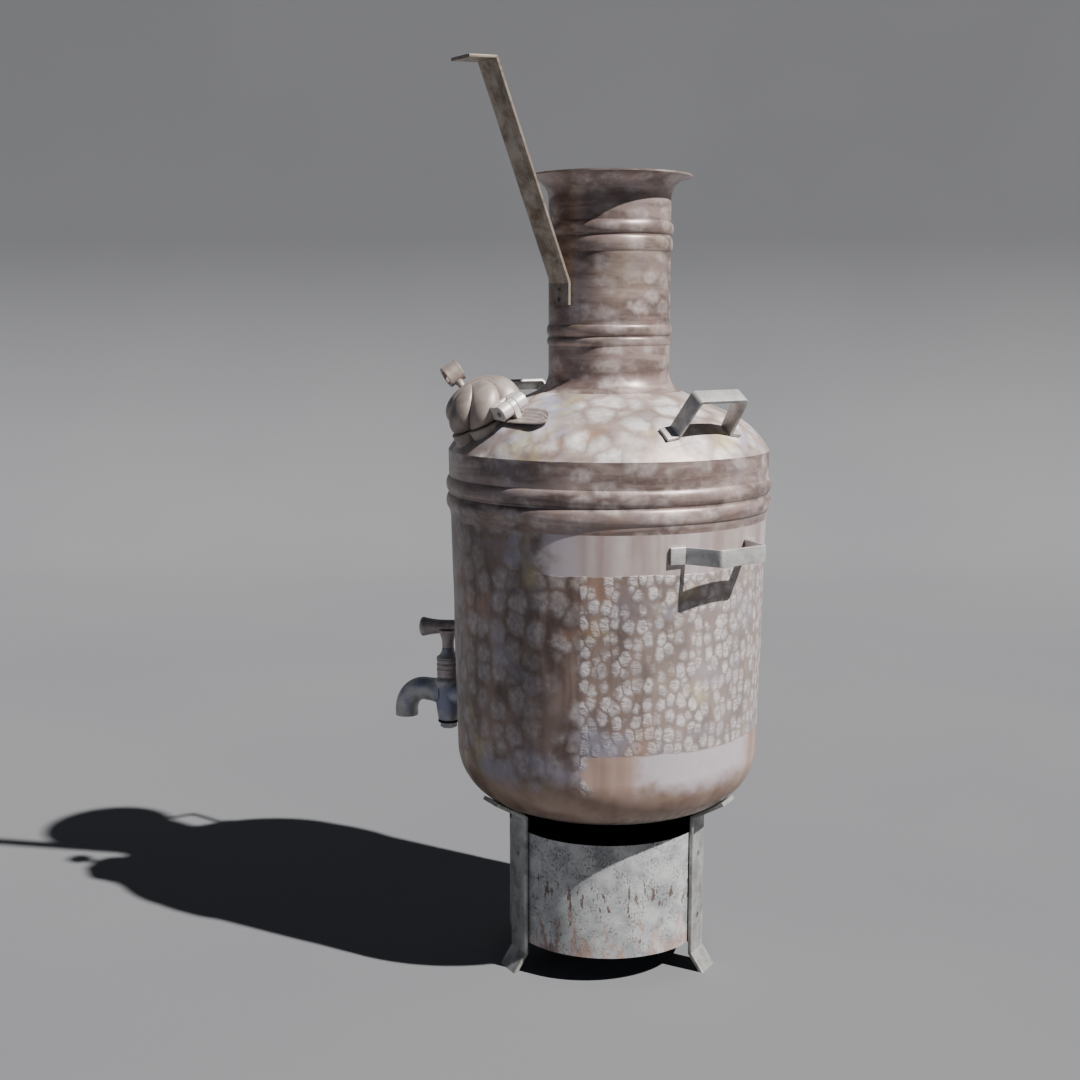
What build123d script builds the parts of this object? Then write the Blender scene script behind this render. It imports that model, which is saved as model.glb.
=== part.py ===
from build123d import *
import os
from math import atan2, cos, degrees, radians, sin, sqrt, tan

os.makedirs("parts", exist_ok=True)

# ---------------------------------------------------------------- driving sizes, mm
# The still stands on the floor (z = 0) with its upright axis on Z.
# An azimuth is measured from -Y, positive towards +X.

sheet_t = 1.6            # copper sheet of the boiler
running_gap = 0.05       # pins, plugs and rivets in their holes
rest_gap = 0.3           # boiler above the three tabs it rests on
seal_gap = 0.1           # flat faces that slide on each other

# stand
drum_r = 100.0
drum_bottom = 29.0
drum_top = 144.5
drum_t = 1.5
bar_w = 29.0
bar_t = 4.0
foot_kick = 12.0
foot_h = 17.0
tab_slope = 30.0
tab_end_r = 134.0
leg_azimuths = {"left": -58.0, "right": 64.0, "rear": 182.0}
stand_rivet_r = 3.0
stand_rivet_inset = 25.0
bar_bend_r = 3.0
strap_bend_r = 1.5
rivet_head_t = 1.4
rivet_settle = 1.6

# boiler pan and wall
wall_low_r = 152.5
wall_high_r = 158.0
corner_r = 56.0
pan_bottom = 168.0
wall_top = 458.0

# upper band with two rolled beads
band_r = 159.5
bead_rise = 3.0
band_beads = (474.0, 491.0)
band_bead_h = 15.0
shoulder_r = 160.0
crease_z = 524.6

# shoulder dome
dome_round_r = 86.5
dome_slope_top = 23.8
dome_slope_edge = 60.0
neck_fillet = 20.0

# neck
neck_r = 60.0
rim_r = 80.4
rim_z = 789.0
flare_r = 21.0
neck_beads = ((641.7, 10.5, 1.7), (631.0, 8.0, 1.5), (739.5, 12.5, 2.7), (724.0, 14.5, 2.1))

# neck arm
arm_azimuth = -50.0
arm_t = 3.0
arm_foot_z = 665.8
arm_bend_z = 687.0
arm_top_r = 145.0
arm_top_z = 888.2
arm_tab_len = 31.5
arm_tab_droop = 3.7
arm_rivet_inset = 5.5

# handles
strap_w = 16.0
strap_t = 3.2
foot_outer = 45.0
foot_inner = 31.0
grip_half = 30.0
shoulder_handle_rise = 42.0
shoulder_handle_r = 137.5
shoulder_handle_azimuths = {"front": 39.0, "rear": -143.0}
side_foot_outer = 54.0
side_foot_inner = 38.0
side_handle_reach = 33.0
side_handle_z = 438.0
side_handle_azimuths = {"front": 41.0, "rear": -139.0}
handle_rivet_r = 2.5

# drain tap
tap_azimuth = -118.0
tap_r = 196.0
tap_above_seam = 25.0
tap_z = pan_bottom + corner_r + tap_above_seam
spout_reach = 56.0
spout_end_z = tap_z - 33.0
spout_outer_r = 12.5
spout_bore_r = 9.0
spout_bend_r = 26.0
tail_r = 13.0
boss_r = 17.0
boss_reach = 9.0
washer_t = 2.0
barrel_low_z = tap_z - 31.0
barrel_top_z = tap_z + 22.0
barrel_wall = 4.0
barrel_foot_wall = 3.4
barrel_low_wall = 6.0
barrel_mid_wall = 5.5
barrel_step = 7.0
barrel_collar = 5.0
shoulder_len = 8.0
plug_top_r = 9.0
plug_low_r = 7.4
plug_bore_r = 5.5
plug_shoulder_depth = 8.0
packing_rest = 1.0
stem_r = 5.0
gland_r = 12.7
gland_thread = 2.5
gland_lip = 4.0
gland_top_z = barrel_top_z + 15.0
follower_rim_t = 1.5
follower_foot_wall = 2.6
follower_top_wall = 1.4
follower_collar = 4.0
follower_top_z = gland_top_z + 12.0
t_bar_z = follower_top_z + 23.5
t_bar_half = 31.0
t_bar_r = 8.0
t_end_r = 10.5
t_sink = 4.0
t_neck_wall = 1.6
t_neck_straight = 17.0
t_neck_wide_r = 12.5
handle_lift = 0.5
tap_rest_turn = 28.0
handle_pin_r = 1.25
handle_pin_half = 6.9
handle_pin_drop = 13.5
nut_t = 6.0
nut_corner_r = 9.2
thread_r = 4.0
thread_end = 1.5
bottom_washer_t = 2.0

# filler
filler_azimuth = -66.0
filler_r = 126.0
filler_tube_r = 24.0
filler_tube_t = 2.0
filler_tube_h = 12.0
flange_r = 41.0
flange_t = 2.5
gasket_t = 2.0
lobes = 6
lobe_root = 0.86
lid_r = 40.0
lid_h = 40.0
lid_cavity_gap = 4.5
hinge_turn = 15.0
hinge_reach = 46.0
hinge_h = 15.0
hinge_pin_r = 2.5
knuckle_w = 30.0
knuckle_r = 8.0
tongue_w = 6.0
leaf_azimuth = -34.9
leaf_r = 121.5
leaf_turn = -10.0
leaf_len = 48.0
leaf_w = 31.0
leaf_t = 2.4
leaf_lift = 1.5
leaf_rivet_at = (-12.0, 12.0)
hinge_cheek_trim = 2.0
eye_centre = (-30.0, -4.0, 50.0)
eye_lean = (-0.80, -0.30, -0.52)
eye_r = 11.0
eye_bore_r = 6.5
eye_len = 16.0
eye_stem_r = 3.5
eye_stem_foot = (-16.0, -2.0, 18.0)


# ---------------------------------------------------------------- shared geometry
def spoke(azimuth):
    """Unit vector pointing outwards at an azimuth."""
    return Vector(sin(radians(azimuth)), -cos(radians(azimuth)), 0)


def radial_plane(azimuth):
    """Upright plane through the axis: local x outwards, local y up."""
    out = spoke(azimuth)
    return Plane(origin=(0, 0, 0), x_dir=out, z_dir=out.cross(Vector(0, 0, 1)))


def save(builder, label):
    """Names a finished piece and writes it to its own file."""
    builder.part.label = label
    export_step(builder.part, f"parts/{label}.step")


def rivet_seat(r, curve_r):
    """How far a flat rivet head sits off a hollow face of radius curve_r."""
    return curve_r - sqrt(curve_r**2 - (1.8 * r) ** 2)


def rivet_profile(skin, end, r, curve_r):
    """Half profile of a rivet along local x, headed inside a curved skin, flush at its end."""
    head_t = rivet_head_t
    start = skin - rivet_seat(r, curve_r)
    Polyline(
        (start - head_t, 0),
        (end, 0),
        (end, r),
        (start, r),
        (start, 1.8 * r),
        (start - head_t, r),
        close=True,
    )


# the round of the dome starts where the straight cone ends
dome_round_x = shoulder_r - dome_round_r * (
    sin(radians(dome_slope_edge)) - sin(radians(dome_slope_top))
)
dome_round_z = crease_z + dome_round_r * (
    cos(radians(dome_slope_top)) - cos(radians(dome_slope_edge))
)


def dome_slope(r):
    """Slope of the dome, in degrees below level, at radius r."""
    if r <= dome_round_x:
        return dome_slope_top
    s = sin(radians(dome_slope_top)) + (r - dome_round_x) / dome_round_r
    return degrees(atan2(s, sqrt(1 - s * s)))


def dome_height(r):
    """Height of the outside of the dome at radius r."""
    if r <= dome_round_x:
        return dome_round_z + (dome_round_x - r) * tan(radians(dome_slope_top))
    return dome_round_z - dome_round_r * (
        cos(radians(dome_slope_top)) - cos(radians(dome_slope(r)))
    )


def wall_radius(z):
    """Outside radius of the tapered wall at height z."""
    low_z = pan_bottom + corner_r
    return wall_low_r + (wall_high_r - wall_low_r) * (z - low_z) / (wall_top - low_z)


def dome_plane(azimuth, r, turn=0.0):
    """Plane on the dome: local x along the dome's hoop, z out of the dome."""
    out = spoke(azimuth)
    tilt = radians(dome_slope(r))
    normal = out * sin(tilt) + Vector(0, 0, cos(tilt))
    hoop = Vector(0, 0, 1).cross(out)
    point = out * r + Vector(0, 0, dome_height(r))
    base = Plane(origin=point, x_dir=hoop, z_dir=normal)
    return base.rotated((0, 0, turn))


cone_corner_z = dome_round_z + (dome_round_x - neck_r) * tan(radians(dome_slope_top))
fillet_run = neck_fillet * tan(radians((90 - dome_slope_top) / 2))
fillet_top_z = cone_corner_z + fillet_run
fillet_foot_r = neck_r + fillet_run * cos(radians(dome_slope_top))
fillet_foot_z = dome_height(fillet_foot_r)


def dome_line():
    """Outside of the dome, from the foot of the neck fillet to the crease."""
    Line((fillet_foot_r, fillet_foot_z), (dome_round_x, dome_round_z))
    mid = (dome_round_x + shoulder_r) / 2
    ThreePointArc((dome_round_x, dome_round_z), (mid, dome_height(mid)), (shoulder_r, crease_z))


# solid of everything inside the outer skin of the dome, used to fit pieces to it
with BuildPart() as dome_body:
    with BuildSketch(Plane.XZ):
        with BuildLine():
            dome_line()
            Line((shoulder_r, crease_z), (0, crease_z))
            Line((0, crease_z), (0, fillet_foot_z))
            Line((0, fillet_foot_z), (fillet_foot_r, fillet_foot_z))
        make_face()
    revolve(axis=Axis.Z)

# solid of everything inside the outer skin of the wall
with BuildPart() as wall_body:
    with BuildSketch(Plane.XZ):
        with BuildLine():
            Polyline(
                (0, pan_bottom + corner_r),
                (wall_low_r, pan_bottom + corner_r),
                (wall_high_r, wall_top),
                (0, wall_top),
                close=True,
            )
        make_face()
    revolve(axis=Axis.Z)


# ---------------------------------------------------------------- stand
stand_rivet_levels = (drum_bottom + stand_rivet_inset, drum_top - stand_rivet_inset)


def outward_hole(azimuth, z):
    """Plane on the axis at height z whose normal points outwards at an azimuth."""
    return Plane(origin=(0, 0, z), x_dir=(0, 0, 1), z_dir=spoke(azimuth))


with BuildPart() as fire_ring:
    with BuildSketch(Plane.XY.offset(drum_bottom)):
        Circle(drum_r)
        Circle(drum_r - drum_t, mode=Mode.SUBTRACT)
    extrude(amount=drum_top - drum_bottom)
    for azimuth in leg_azimuths.values():
        for height in stand_rivet_levels:
            with BuildSketch(outward_hole(azimuth, height)):
                Circle(stand_rivet_r + running_gap)
            extrude(amount=drum_r + bar_t, mode=Mode.SUBTRACT)
save(fire_ring, "fire_ring")

# the upper face of each tab just clears the corner of the pan
touch_r = wall_low_r - corner_r + (corner_r + rest_gap) * sin(radians(tab_slope))
touch_z = pan_bottom + corner_r - (corner_r + rest_gap) * cos(radians(tab_slope))
tab_root_z = touch_z - (touch_r - drum_r) * tan(radians(tab_slope))
tab_end_z = touch_z + (tab_end_r - touch_r) * tan(radians(tab_slope))

for name, azimuth in leg_azimuths.items():
    with BuildPart() as leg:
        with BuildSketch(radial_plane(azimuth)):
            with BuildLine():
                FilletPolyline(
                    (drum_r + foot_kick * 2, -foot_h),
                    (drum_r, foot_h),
                    (drum_r, tab_root_z),
                    (tab_end_r, tab_end_z),
                    radius=bar_bend_r,
                )
                offset(amount=bar_t, side=Side.RIGHT)
            make_face()
        extrude(amount=bar_w / 2, both=True)
        with BuildSketch(Plane.XY):
            Circle(drum_r * 2)
        extrude(amount=-foot_h * 2, mode=Mode.SUBTRACT)
        for height in stand_rivet_levels:
            with BuildSketch(outward_hole(azimuth, height)):
                Circle(stand_rivet_r + running_gap)
            extrude(amount=drum_r + 2 * bar_t, mode=Mode.SUBTRACT)
    save(leg, f"stand_leg_{name}")

with BuildPart() as stand_rivets:
    for azimuth in leg_azimuths.values():
        for height in stand_rivet_levels:
            with BuildSketch(radial_plane(azimuth).shift_origin((0, 0, height))):
                with BuildLine():
                    rivet_profile(drum_r - drum_t, drum_r + bar_t, stand_rivet_r, drum_r - drum_t)
                make_face()
            revolve(axis=Axis((0, 0, height), spoke(azimuth)))
save(stand_rivets, "stand_rivets")


# ---------------------------------------------------------------- boiler
seam_z = pan_bottom + corner_r
with BuildPart() as boiler_bottom:
    with BuildSketch(Plane.XZ):
        with BuildLine():
            Line((0, pan_bottom), (wall_low_r - corner_r, pan_bottom))
            ThreePointArc(
                (wall_low_r - corner_r, pan_bottom),
                (
                    wall_low_r - corner_r * (1 - sin(radians(45))),
                    seam_z - corner_r * cos(radians(45)),
                ),
                (wall_low_r, seam_z),
            )
            Line((wall_low_r, seam_z), (wall_low_r - sheet_t, seam_z))
            ThreePointArc(
                (wall_low_r - sheet_t, seam_z),
                (
                    wall_low_r - corner_r + (corner_r - sheet_t) * sin(radians(45)),
                    seam_z - (corner_r - sheet_t) * cos(radians(45)),
                ),
                (wall_low_r - corner_r, pan_bottom + sheet_t),
            )
            Line((wall_low_r - corner_r, pan_bottom + sheet_t), (0, pan_bottom + sheet_t))
            Line((0, pan_bottom + sheet_t), (0, pan_bottom))
        make_face()
    revolve(axis=Axis.Z)
save(boiler_bottom, "boiler_bottom")


# ---- strap handles: an inner line offset by the strap's thickness
def side_handle_points(sign):
    """Inner line of a side handle, seen from above, on one side of its middle."""
    foot_mid = (side_foot_outer + side_foot_inner) / 2
    r = wall_radius(side_handle_z + strap_w / 2)
    lean = atan2(foot_mid, sqrt(r * r - foot_mid * foot_mid))
    reach = sqrt(r * r - foot_mid * foot_mid)
    outer_y = reach - (side_foot_outer - foot_mid) * tan(lean)
    inner_y = reach + (foot_mid - side_foot_inner) * tan(lean)
    grip_y = r + side_handle_reach - strap_t
    return [
        (sign * side_foot_outer, outer_y),
        (sign * side_foot_inner, inner_y),
        (sign * (grip_half - strap_t), grip_y),
    ]


def side_handle_plane(azimuth):
    """Level plane at the side handles: local y points outwards."""
    out = spoke(azimuth)
    return Plane(origin=(0, 0, side_handle_z), x_dir=out.cross(Vector(0, 0, 1)), z_dir=(0, 0, 1))


def side_rivet_planes(azimuth):
    """Planes square to the wall at the two rivets of a side handle."""
    foot_mid = (side_foot_outer + side_foot_inner) / 2
    turn = degrees(atan2(foot_mid, wall_radius(side_handle_z)))
    for sign in (-1, 1):
        yield Plane(
            origin=(0, 0, side_handle_z), x_dir=(0, 0, 1), z_dir=spoke(azimuth + sign * turn)
        )


with BuildPart() as boiler_wall:
    with BuildSketch(Plane.XZ):
        with BuildLine():
            Polyline(
                (wall_low_r, seam_z),
                (wall_high_r, wall_top),
                (wall_high_r - sheet_t, wall_top),
                (wall_low_r - sheet_t, seam_z),
                close=True,
            )
        make_face()
    revolve(axis=Axis.Z)
    for azimuth in side_handle_azimuths.values():
        for plane in side_rivet_planes(azimuth):
            with BuildSketch(plane):
                Circle(handle_rivet_r + running_gap)
            extrude(amount=wall_high_r + sheet_t, mode=Mode.SUBTRACT)
    with BuildSketch(outward_hole(tap_azimuth, tap_z)):
        Circle(boss_r)
    extrude(amount=wall_high_r + sheet_t, mode=Mode.SUBTRACT)
save(boiler_wall, "boiler_wall")


def bead(z, height, rise, r):
    """Round rolled bead standing out of an upright sheet, drawn upwards."""
    ThreePointArc((r, z - height / 2), (r + rise, z), (r, z + height / 2))


with BuildPart() as upper_band:
    with BuildSketch(Plane.XZ):
        with BuildLine():
            first, second = band_beads
            Line((wall_high_r, wall_top), (band_r, first - band_bead_h / 2))
            bead(first, band_bead_h, bead_rise, band_r)
            Line((band_r, first + band_bead_h / 2), (band_r, second - band_bead_h / 2))
            bead(second, band_bead_h, bead_rise, band_r)
            Line((band_r, second + band_bead_h / 2), (shoulder_r, crease_z))
            Line((shoulder_r, crease_z), (shoulder_r - sheet_t, crease_z))
            Line((shoulder_r - sheet_t, crease_z), (band_r - sheet_t, second + band_bead_h / 2))
            bead(second, band_bead_h, bead_rise, band_r - sheet_t)
            Line(
                (band_r - sheet_t, second - band_bead_h / 2),
                (band_r - sheet_t, first + band_bead_h / 2),
            )
            bead(first, band_bead_h, bead_rise, band_r - sheet_t)
            Line((band_r - sheet_t, first - band_bead_h / 2), (wall_high_r - sheet_t, wall_top))
            Line((wall_high_r - sheet_t, wall_top), (wall_high_r, wall_top))
        make_face()
    revolve(axis=Axis.Z)
save(upper_band, "upper_band")


def shoulder_handle_foot(sign):
    """Where one foot of a shoulder handle meets the dome, on the handle's plane."""
    hoop_r = shoulder_handle_r / sin(radians(dome_slope(shoulder_handle_r)))
    foot_mid = (foot_outer + foot_inner) / 2
    drop = hoop_r - sqrt(hoop_r * hoop_r - foot_mid * foot_mid)
    lean = foot_mid / sqrt(hoop_r * hoop_r - foot_mid * foot_mid)
    outer = (sign * foot_outer, -drop - lean * (foot_outer - foot_mid))
    inner = (sign * foot_inner, -drop + lean * (foot_mid - foot_inner))
    return outer, inner


def shoulder_rivet_planes(azimuth):
    """Planes square to the dome at the two rivets of a shoulder handle."""
    foot_mid = (foot_outer + foot_inner) / 2
    turn = degrees(atan2(foot_mid, shoulder_handle_r))
    for sign in (-1, 1):
        yield dome_plane(azimuth + sign * turn, shoulder_handle_r)


filler_plane = dome_plane(filler_azimuth, filler_r)
hinge_plane = dome_plane(filler_azimuth, filler_r, hinge_turn)
leaf_plane = dome_plane(leaf_azimuth, leaf_r, leaf_turn)


def leaf_rivet_planes():
    """Planes at the rivets of the hinge leaf, square to the leaf."""
    for along in leaf_rivet_at:
        yield leaf_plane.shift_origin(leaf_plane.from_local_coords((along, 0, 0)))


with BuildPart() as shoulder_dome:
    with BuildSketch(Plane.XZ):
        with BuildLine() as outside:
            dome_line()
            offset(amount=sheet_t, side=Side.RIGHT)
        make_face()
    revolve(axis=Axis.Z)
    with BuildSketch(Plane.XY.offset(crease_z)):
        Circle(2 * shoulder_r)
    extrude(amount=-4 * sheet_t, mode=Mode.SUBTRACT)
    for azimuth in shoulder_handle_azimuths.values():
        for plane in shoulder_rivet_planes(azimuth):
            with BuildSketch(plane):
                Circle(handle_rivet_r + running_gap)
            extrude(amount=-3 * sheet_t, both=True, mode=Mode.SUBTRACT)
    for plane in leaf_rivet_planes():
        with BuildSketch(plane):
            Circle(handle_rivet_r + running_gap)
        extrude(amount=8 * sheet_t, both=True, mode=Mode.SUBTRACT)
    with BuildSketch(filler_plane):
        Circle(filler_tube_r)
    extrude(amount=8 * sheet_t, both=True, mode=Mode.SUBTRACT)
save(shoulder_dome, "shoulder_dome")

# the neck's outside line, from the fillet's foot up to the lip of the flare
ordered_beads = sorted(neck_beads)
flare_start_z = rim_z - flare_r


def neck_side(inset):
    """Upright side of the neck with its beads, set in by a sheet's thickness."""
    r = neck_r - inset
    last = fillet_top_z
    for z, height, rise in ordered_beads:
        if z - height / 2 - last > running_gap:
            Line((r, last), (r, z - height / 2))
        bead(z, height, rise, r)
        last = z + height / 2
    Line((r, last), (r, flare_start_z))


def neck_fillet_arc(radius):
    """Hollow curve from the dome's cone into the upright neck."""
    centre = (neck_r + neck_fillet, fillet_top_z)
    angle = radians(90 - dome_slope_top)
    start = (centre[0] - radius * cos(angle), centre[1] - radius * sin(angle))
    middle = (centre[0] - radius * cos(angle / 2), centre[1] - radius * sin(angle / 2))
    ThreePointArc(start, middle, (centre[0] - radius, centre[1]))
    return start


flare_out = rim_r - neck_r
flare_arc_r = (flare_out**2 + flare_r**2) / (2 * flare_out)
flare_turn = atan2(flare_r, flare_arc_r - flare_out)


def flare_arc(radius):
    """Hollow flare from the upright neck out to the lip."""
    centre = (neck_r + flare_arc_r, flare_start_z)
    middle = (
        centre[0] - radius * cos(flare_turn / 2),
        centre[1] + radius * sin(flare_turn / 2),
    )
    end = (centre[0] - radius * cos(flare_turn), centre[1] + radius * sin(flare_turn))
    ThreePointArc((centre[0] - radius, centre[1]), middle, end)
    return end


arm_rivet_levels = (arm_foot_z + arm_rivet_inset, arm_bend_z - arm_rivet_inset)
with BuildPart() as neck_tube:
    with BuildSketch(Plane.XZ):
        with BuildLine():
            foot_out = neck_fillet_arc(neck_fillet)
            neck_side(0)
            lip_out = flare_arc(flare_arc_r)
            lip_in = flare_arc(flare_arc_r + sheet_t)
            Line(lip_out, lip_in)
            neck_side(sheet_t)
            foot_in = neck_fillet_arc(neck_fillet + sheet_t)
            Line(foot_in, foot_out)
        make_face()
    revolve(axis=Axis.Z)
    for height in arm_rivet_levels:
        with BuildSketch(outward_hole(arm_azimuth, height)):
            Circle(handle_rivet_r + running_gap)
        extrude(amount=neck_r + sheet_t, mode=Mode.SUBTRACT)
save(neck_tube, "neck_tube")

# arm: flat bar from the neck outwards and up, with a tab at the top
tab_tip_r = arm_top_r + arm_tab_len * cos(radians(arm_tab_droop))
tab_tip_z = arm_top_z - arm_tab_len * sin(radians(arm_tab_droop))
with BuildPart() as neck_arm:
    with BuildSketch(radial_plane(arm_azimuth)):
        with BuildLine():
            FilletPolyline(
                (neck_r, arm_foot_z),
                (neck_r, arm_bend_z),
                (arm_top_r, arm_top_z),
                (tab_tip_r, tab_tip_z),
                radius=strap_bend_r,
            )
            offset(amount=arm_t, side=Side.RIGHT)
        make_face()
    extrude(amount=bar_w / 2, both=True)
    for height in arm_rivet_levels:
        with BuildSketch(outward_hole(arm_azimuth, height)):
            Circle(handle_rivet_r + running_gap)
        extrude(amount=neck_r + 2 * arm_t, mode=Mode.SUBTRACT)
save(neck_arm, "neck_arm")


with BuildPart() as neck_arm_rivets:
    for height in arm_rivet_levels:
        inner = sqrt((neck_r - sheet_t) ** 2 - handle_rivet_r**2) + sheet_t / 4
        out = spoke(arm_azimuth)
        with BuildSketch(Plane(origin=out * inner + Vector(0, 0, height), z_dir=out)):
            Circle(handle_rivet_r)
        extrude(amount=neck_r + arm_t - inner)
save(neck_arm_rivets, "neck_arm_rivets")

for name, azimuth in shoulder_handle_azimuths.items():
    handle_plane = dome_plane(azimuth, shoulder_handle_r)
    section = Plane(
        origin=handle_plane.origin, x_dir=handle_plane.x_dir, z_dir=-handle_plane.y_dir
    )
    with BuildPart() as shoulder_handle:
        with BuildSketch(section):
            with BuildLine():
                left_outer, left_inner = shoulder_handle_foot(-1)
                right_outer, right_inner = shoulder_handle_foot(1)
                top = shoulder_handle_rise - strap_t
                FilletPolyline(
                    left_outer,
                    left_inner,
                    (-grip_half + strap_t, top),
                    (grip_half - strap_t, top),
                    right_inner,
                    right_outer,
                    radius=strap_bend_r,
                )
                offset(amount=strap_t, side=Side.LEFT)
            make_face()
        extrude(amount=strap_w / 2, both=True)
        for plane in shoulder_rivet_planes(azimuth):
            with BuildSketch(plane):
                Circle(handle_rivet_r + running_gap)
            extrude(amount=3 * strap_t, both=True, mode=Mode.SUBTRACT)
        add(dome_body.part, mode=Mode.SUBTRACT)
    save(shoulder_handle, f"shoulder_handle_{name}")

with BuildPart() as shoulder_handle_rivets:
    for azimuth in shoulder_handle_azimuths.values():
        for plane in shoulder_rivet_planes(azimuth):
            section = Plane(origin=plane.origin, x_dir=plane.z_dir, z_dir=plane.x_dir)
            with BuildSketch(section):
                with BuildLine():
                    rivet_profile(-sheet_t, strap_t - running_gap, handle_rivet_r, dome_round_r / 2)
                make_face()
            revolve(axis=Axis(plane.origin, plane.z_dir))
save(shoulder_handle_rivets, "shoulder_handle_rivets")

for name, azimuth in side_handle_azimuths.items():
    with BuildPart() as side_handle:
        with BuildSketch(side_handle_plane(azimuth)):
            with BuildLine():
                FilletPolyline(
                    *side_handle_points(-1),
                    *reversed(side_handle_points(1)),
                    radius=strap_bend_r,
                )
                offset(amount=strap_t, side=Side.LEFT)
            make_face()
        extrude(amount=strap_w / 2, both=True)
        for plane in side_rivet_planes(azimuth):
            with BuildSketch(plane):
                Circle(handle_rivet_r + running_gap)
            extrude(amount=wall_high_r + 3 * strap_t, mode=Mode.SUBTRACT)
        add(wall_body.part, mode=Mode.SUBTRACT)
    save(side_handle, f"side_handle_{name}")

with BuildPart() as side_handle_rivets:
    for azimuth in side_handle_azimuths.values():
        for plane in side_rivet_planes(azimuth):
            r = wall_radius(side_handle_z)
            section = Plane(
                origin=plane.origin, x_dir=plane.z_dir, z_dir=plane.z_dir.cross(Vector(0, 0, 1))
            )
            with BuildSketch(section):
                with BuildLine():
                    rivet_profile(r - sheet_t, r + strap_t, handle_rivet_r, r / 2)
                make_face()
            revolve(axis=Axis(plane.origin, plane.z_dir))
save(side_handle_rivets, "side_handle_rivets")


# ---------------------------------------------------------------- drain tap
tap_out = spoke(tap_azimuth)
tap_axis_point = tap_out * tap_r
tap_axis = Axis(tap_axis_point, (0, 0, 1))
tap_section = Plane(
    origin=tap_axis_point, x_dir=tap_out, z_dir=tap_out.cross(Vector(0, 0, 1))
)
boss_face_r = wall_radius(tap_z) + boss_reach
boss_back_r = wall_radius(tap_z) - boss_reach


def outward_plane(r, z):
    """Plane square to the tap's inlet, at a distance from the still's axis."""
    return Plane(origin=tap_out * r + Vector(0, 0, z), x_dir=(0, 0, 1), z_dir=tap_out)


with BuildPart() as tap_boss:
    with BuildSketch(outward_plane(boss_back_r, tap_z)):
        Circle(boss_r - running_gap)
        Circle(tail_r + running_gap, mode=Mode.SUBTRACT)
    extrude(amount=boss_face_r - boss_back_r)
save(tap_boss, "tap_boss")

with BuildPart() as tap_fibre_washer:
    with BuildSketch(outward_plane(boss_face_r, tap_z)):
        Circle(boss_r)
        Circle(tail_r + running_gap, mode=Mode.SUBTRACT)
    extrude(amount=washer_t)
save(tap_fibre_washer, "tap_fibre_washer")

def plug_radius(z):
    """Radius of the tapered plug at height z."""
    share = (z - barrel_low_z) / (barrel_top_z - barrel_low_z)
    return plug_low_r + (plug_top_r - plug_low_r) * share


with BuildPart() as tap_body:
    # barrel, wider round the waterway
    with BuildSketch(tap_section):
        with BuildLine():
            Polyline(
                (0, barrel_low_z),
                (plug_low_r + barrel_foot_wall, barrel_low_z),
                (plug_low_r + barrel_low_wall, tap_z - spout_outer_r),
                (plug_top_r + barrel_mid_wall, tap_z),
                (plug_top_r + barrel_mid_wall, barrel_top_z - barrel_step),
                (gland_r - gland_thread, barrel_top_z - barrel_collar),
                (gland_r - gland_thread, barrel_top_z),
                (0, barrel_top_z),
                close=True,
            )
        make_face()
    revolve(axis=tap_axis)
    # inlet tail and the shoulder that bears on the washer
    with BuildSketch(outward_plane(boss_back_r, tap_z)):
        Circle(tail_r)
    extrude(amount=tap_r - boss_back_r)
    with BuildSketch(outward_plane(boss_face_r + washer_t, tap_z)):
        RegularPolygon(boss_r, 6)
    extrude(amount=shoulder_len)
    # spout
    with BuildLine() as spout_path:
        turn_start = tap_out * (tap_r + spout_reach - spout_bend_r) + Vector(0, 0, tap_z)
        turn_end = tap_out * (tap_r + spout_reach) + Vector(0, 0, tap_z - spout_bend_r)
        half = spout_bend_r * (1 - cos(radians(45)))
        turn_middle = tap_out * (tap_r + spout_reach - half) + Vector(0, 0, tap_z - half)
        Line(tap_axis_point + Vector(0, 0, tap_z), turn_start)
        ThreePointArc(turn_start, turn_middle, turn_end)
        Line(turn_end, tap_out * (tap_r + spout_reach) + Vector(0, 0, spout_end_z))
    with BuildSketch(outward_plane(tap_r, tap_z)):
        Circle(spout_outer_r)
    sweep(path=spout_path.line)
    # waterway
    with BuildSketch(outward_plane(tap_r, tap_z)):
        Circle(spout_bore_r)
    sweep(path=spout_path.line, mode=Mode.SUBTRACT)
    with BuildSketch(outward_plane(boss_back_r, tap_z)):
        Circle(spout_bore_r)
    extrude(amount=tap_r - boss_back_r, mode=Mode.SUBTRACT)
    # tapered seat of the plug
    with BuildSketch(tap_section):
        with BuildLine():
            Polyline(
                (0, barrel_low_z),
                (plug_low_r + running_gap, barrel_low_z),
                (plug_top_r + running_gap, barrel_top_z),
                (0, barrel_top_z),
                close=True,
            )
        make_face()
    revolve(axis=tap_axis, mode=Mode.SUBTRACT)
save(tap_body, "tap_body")

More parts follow.
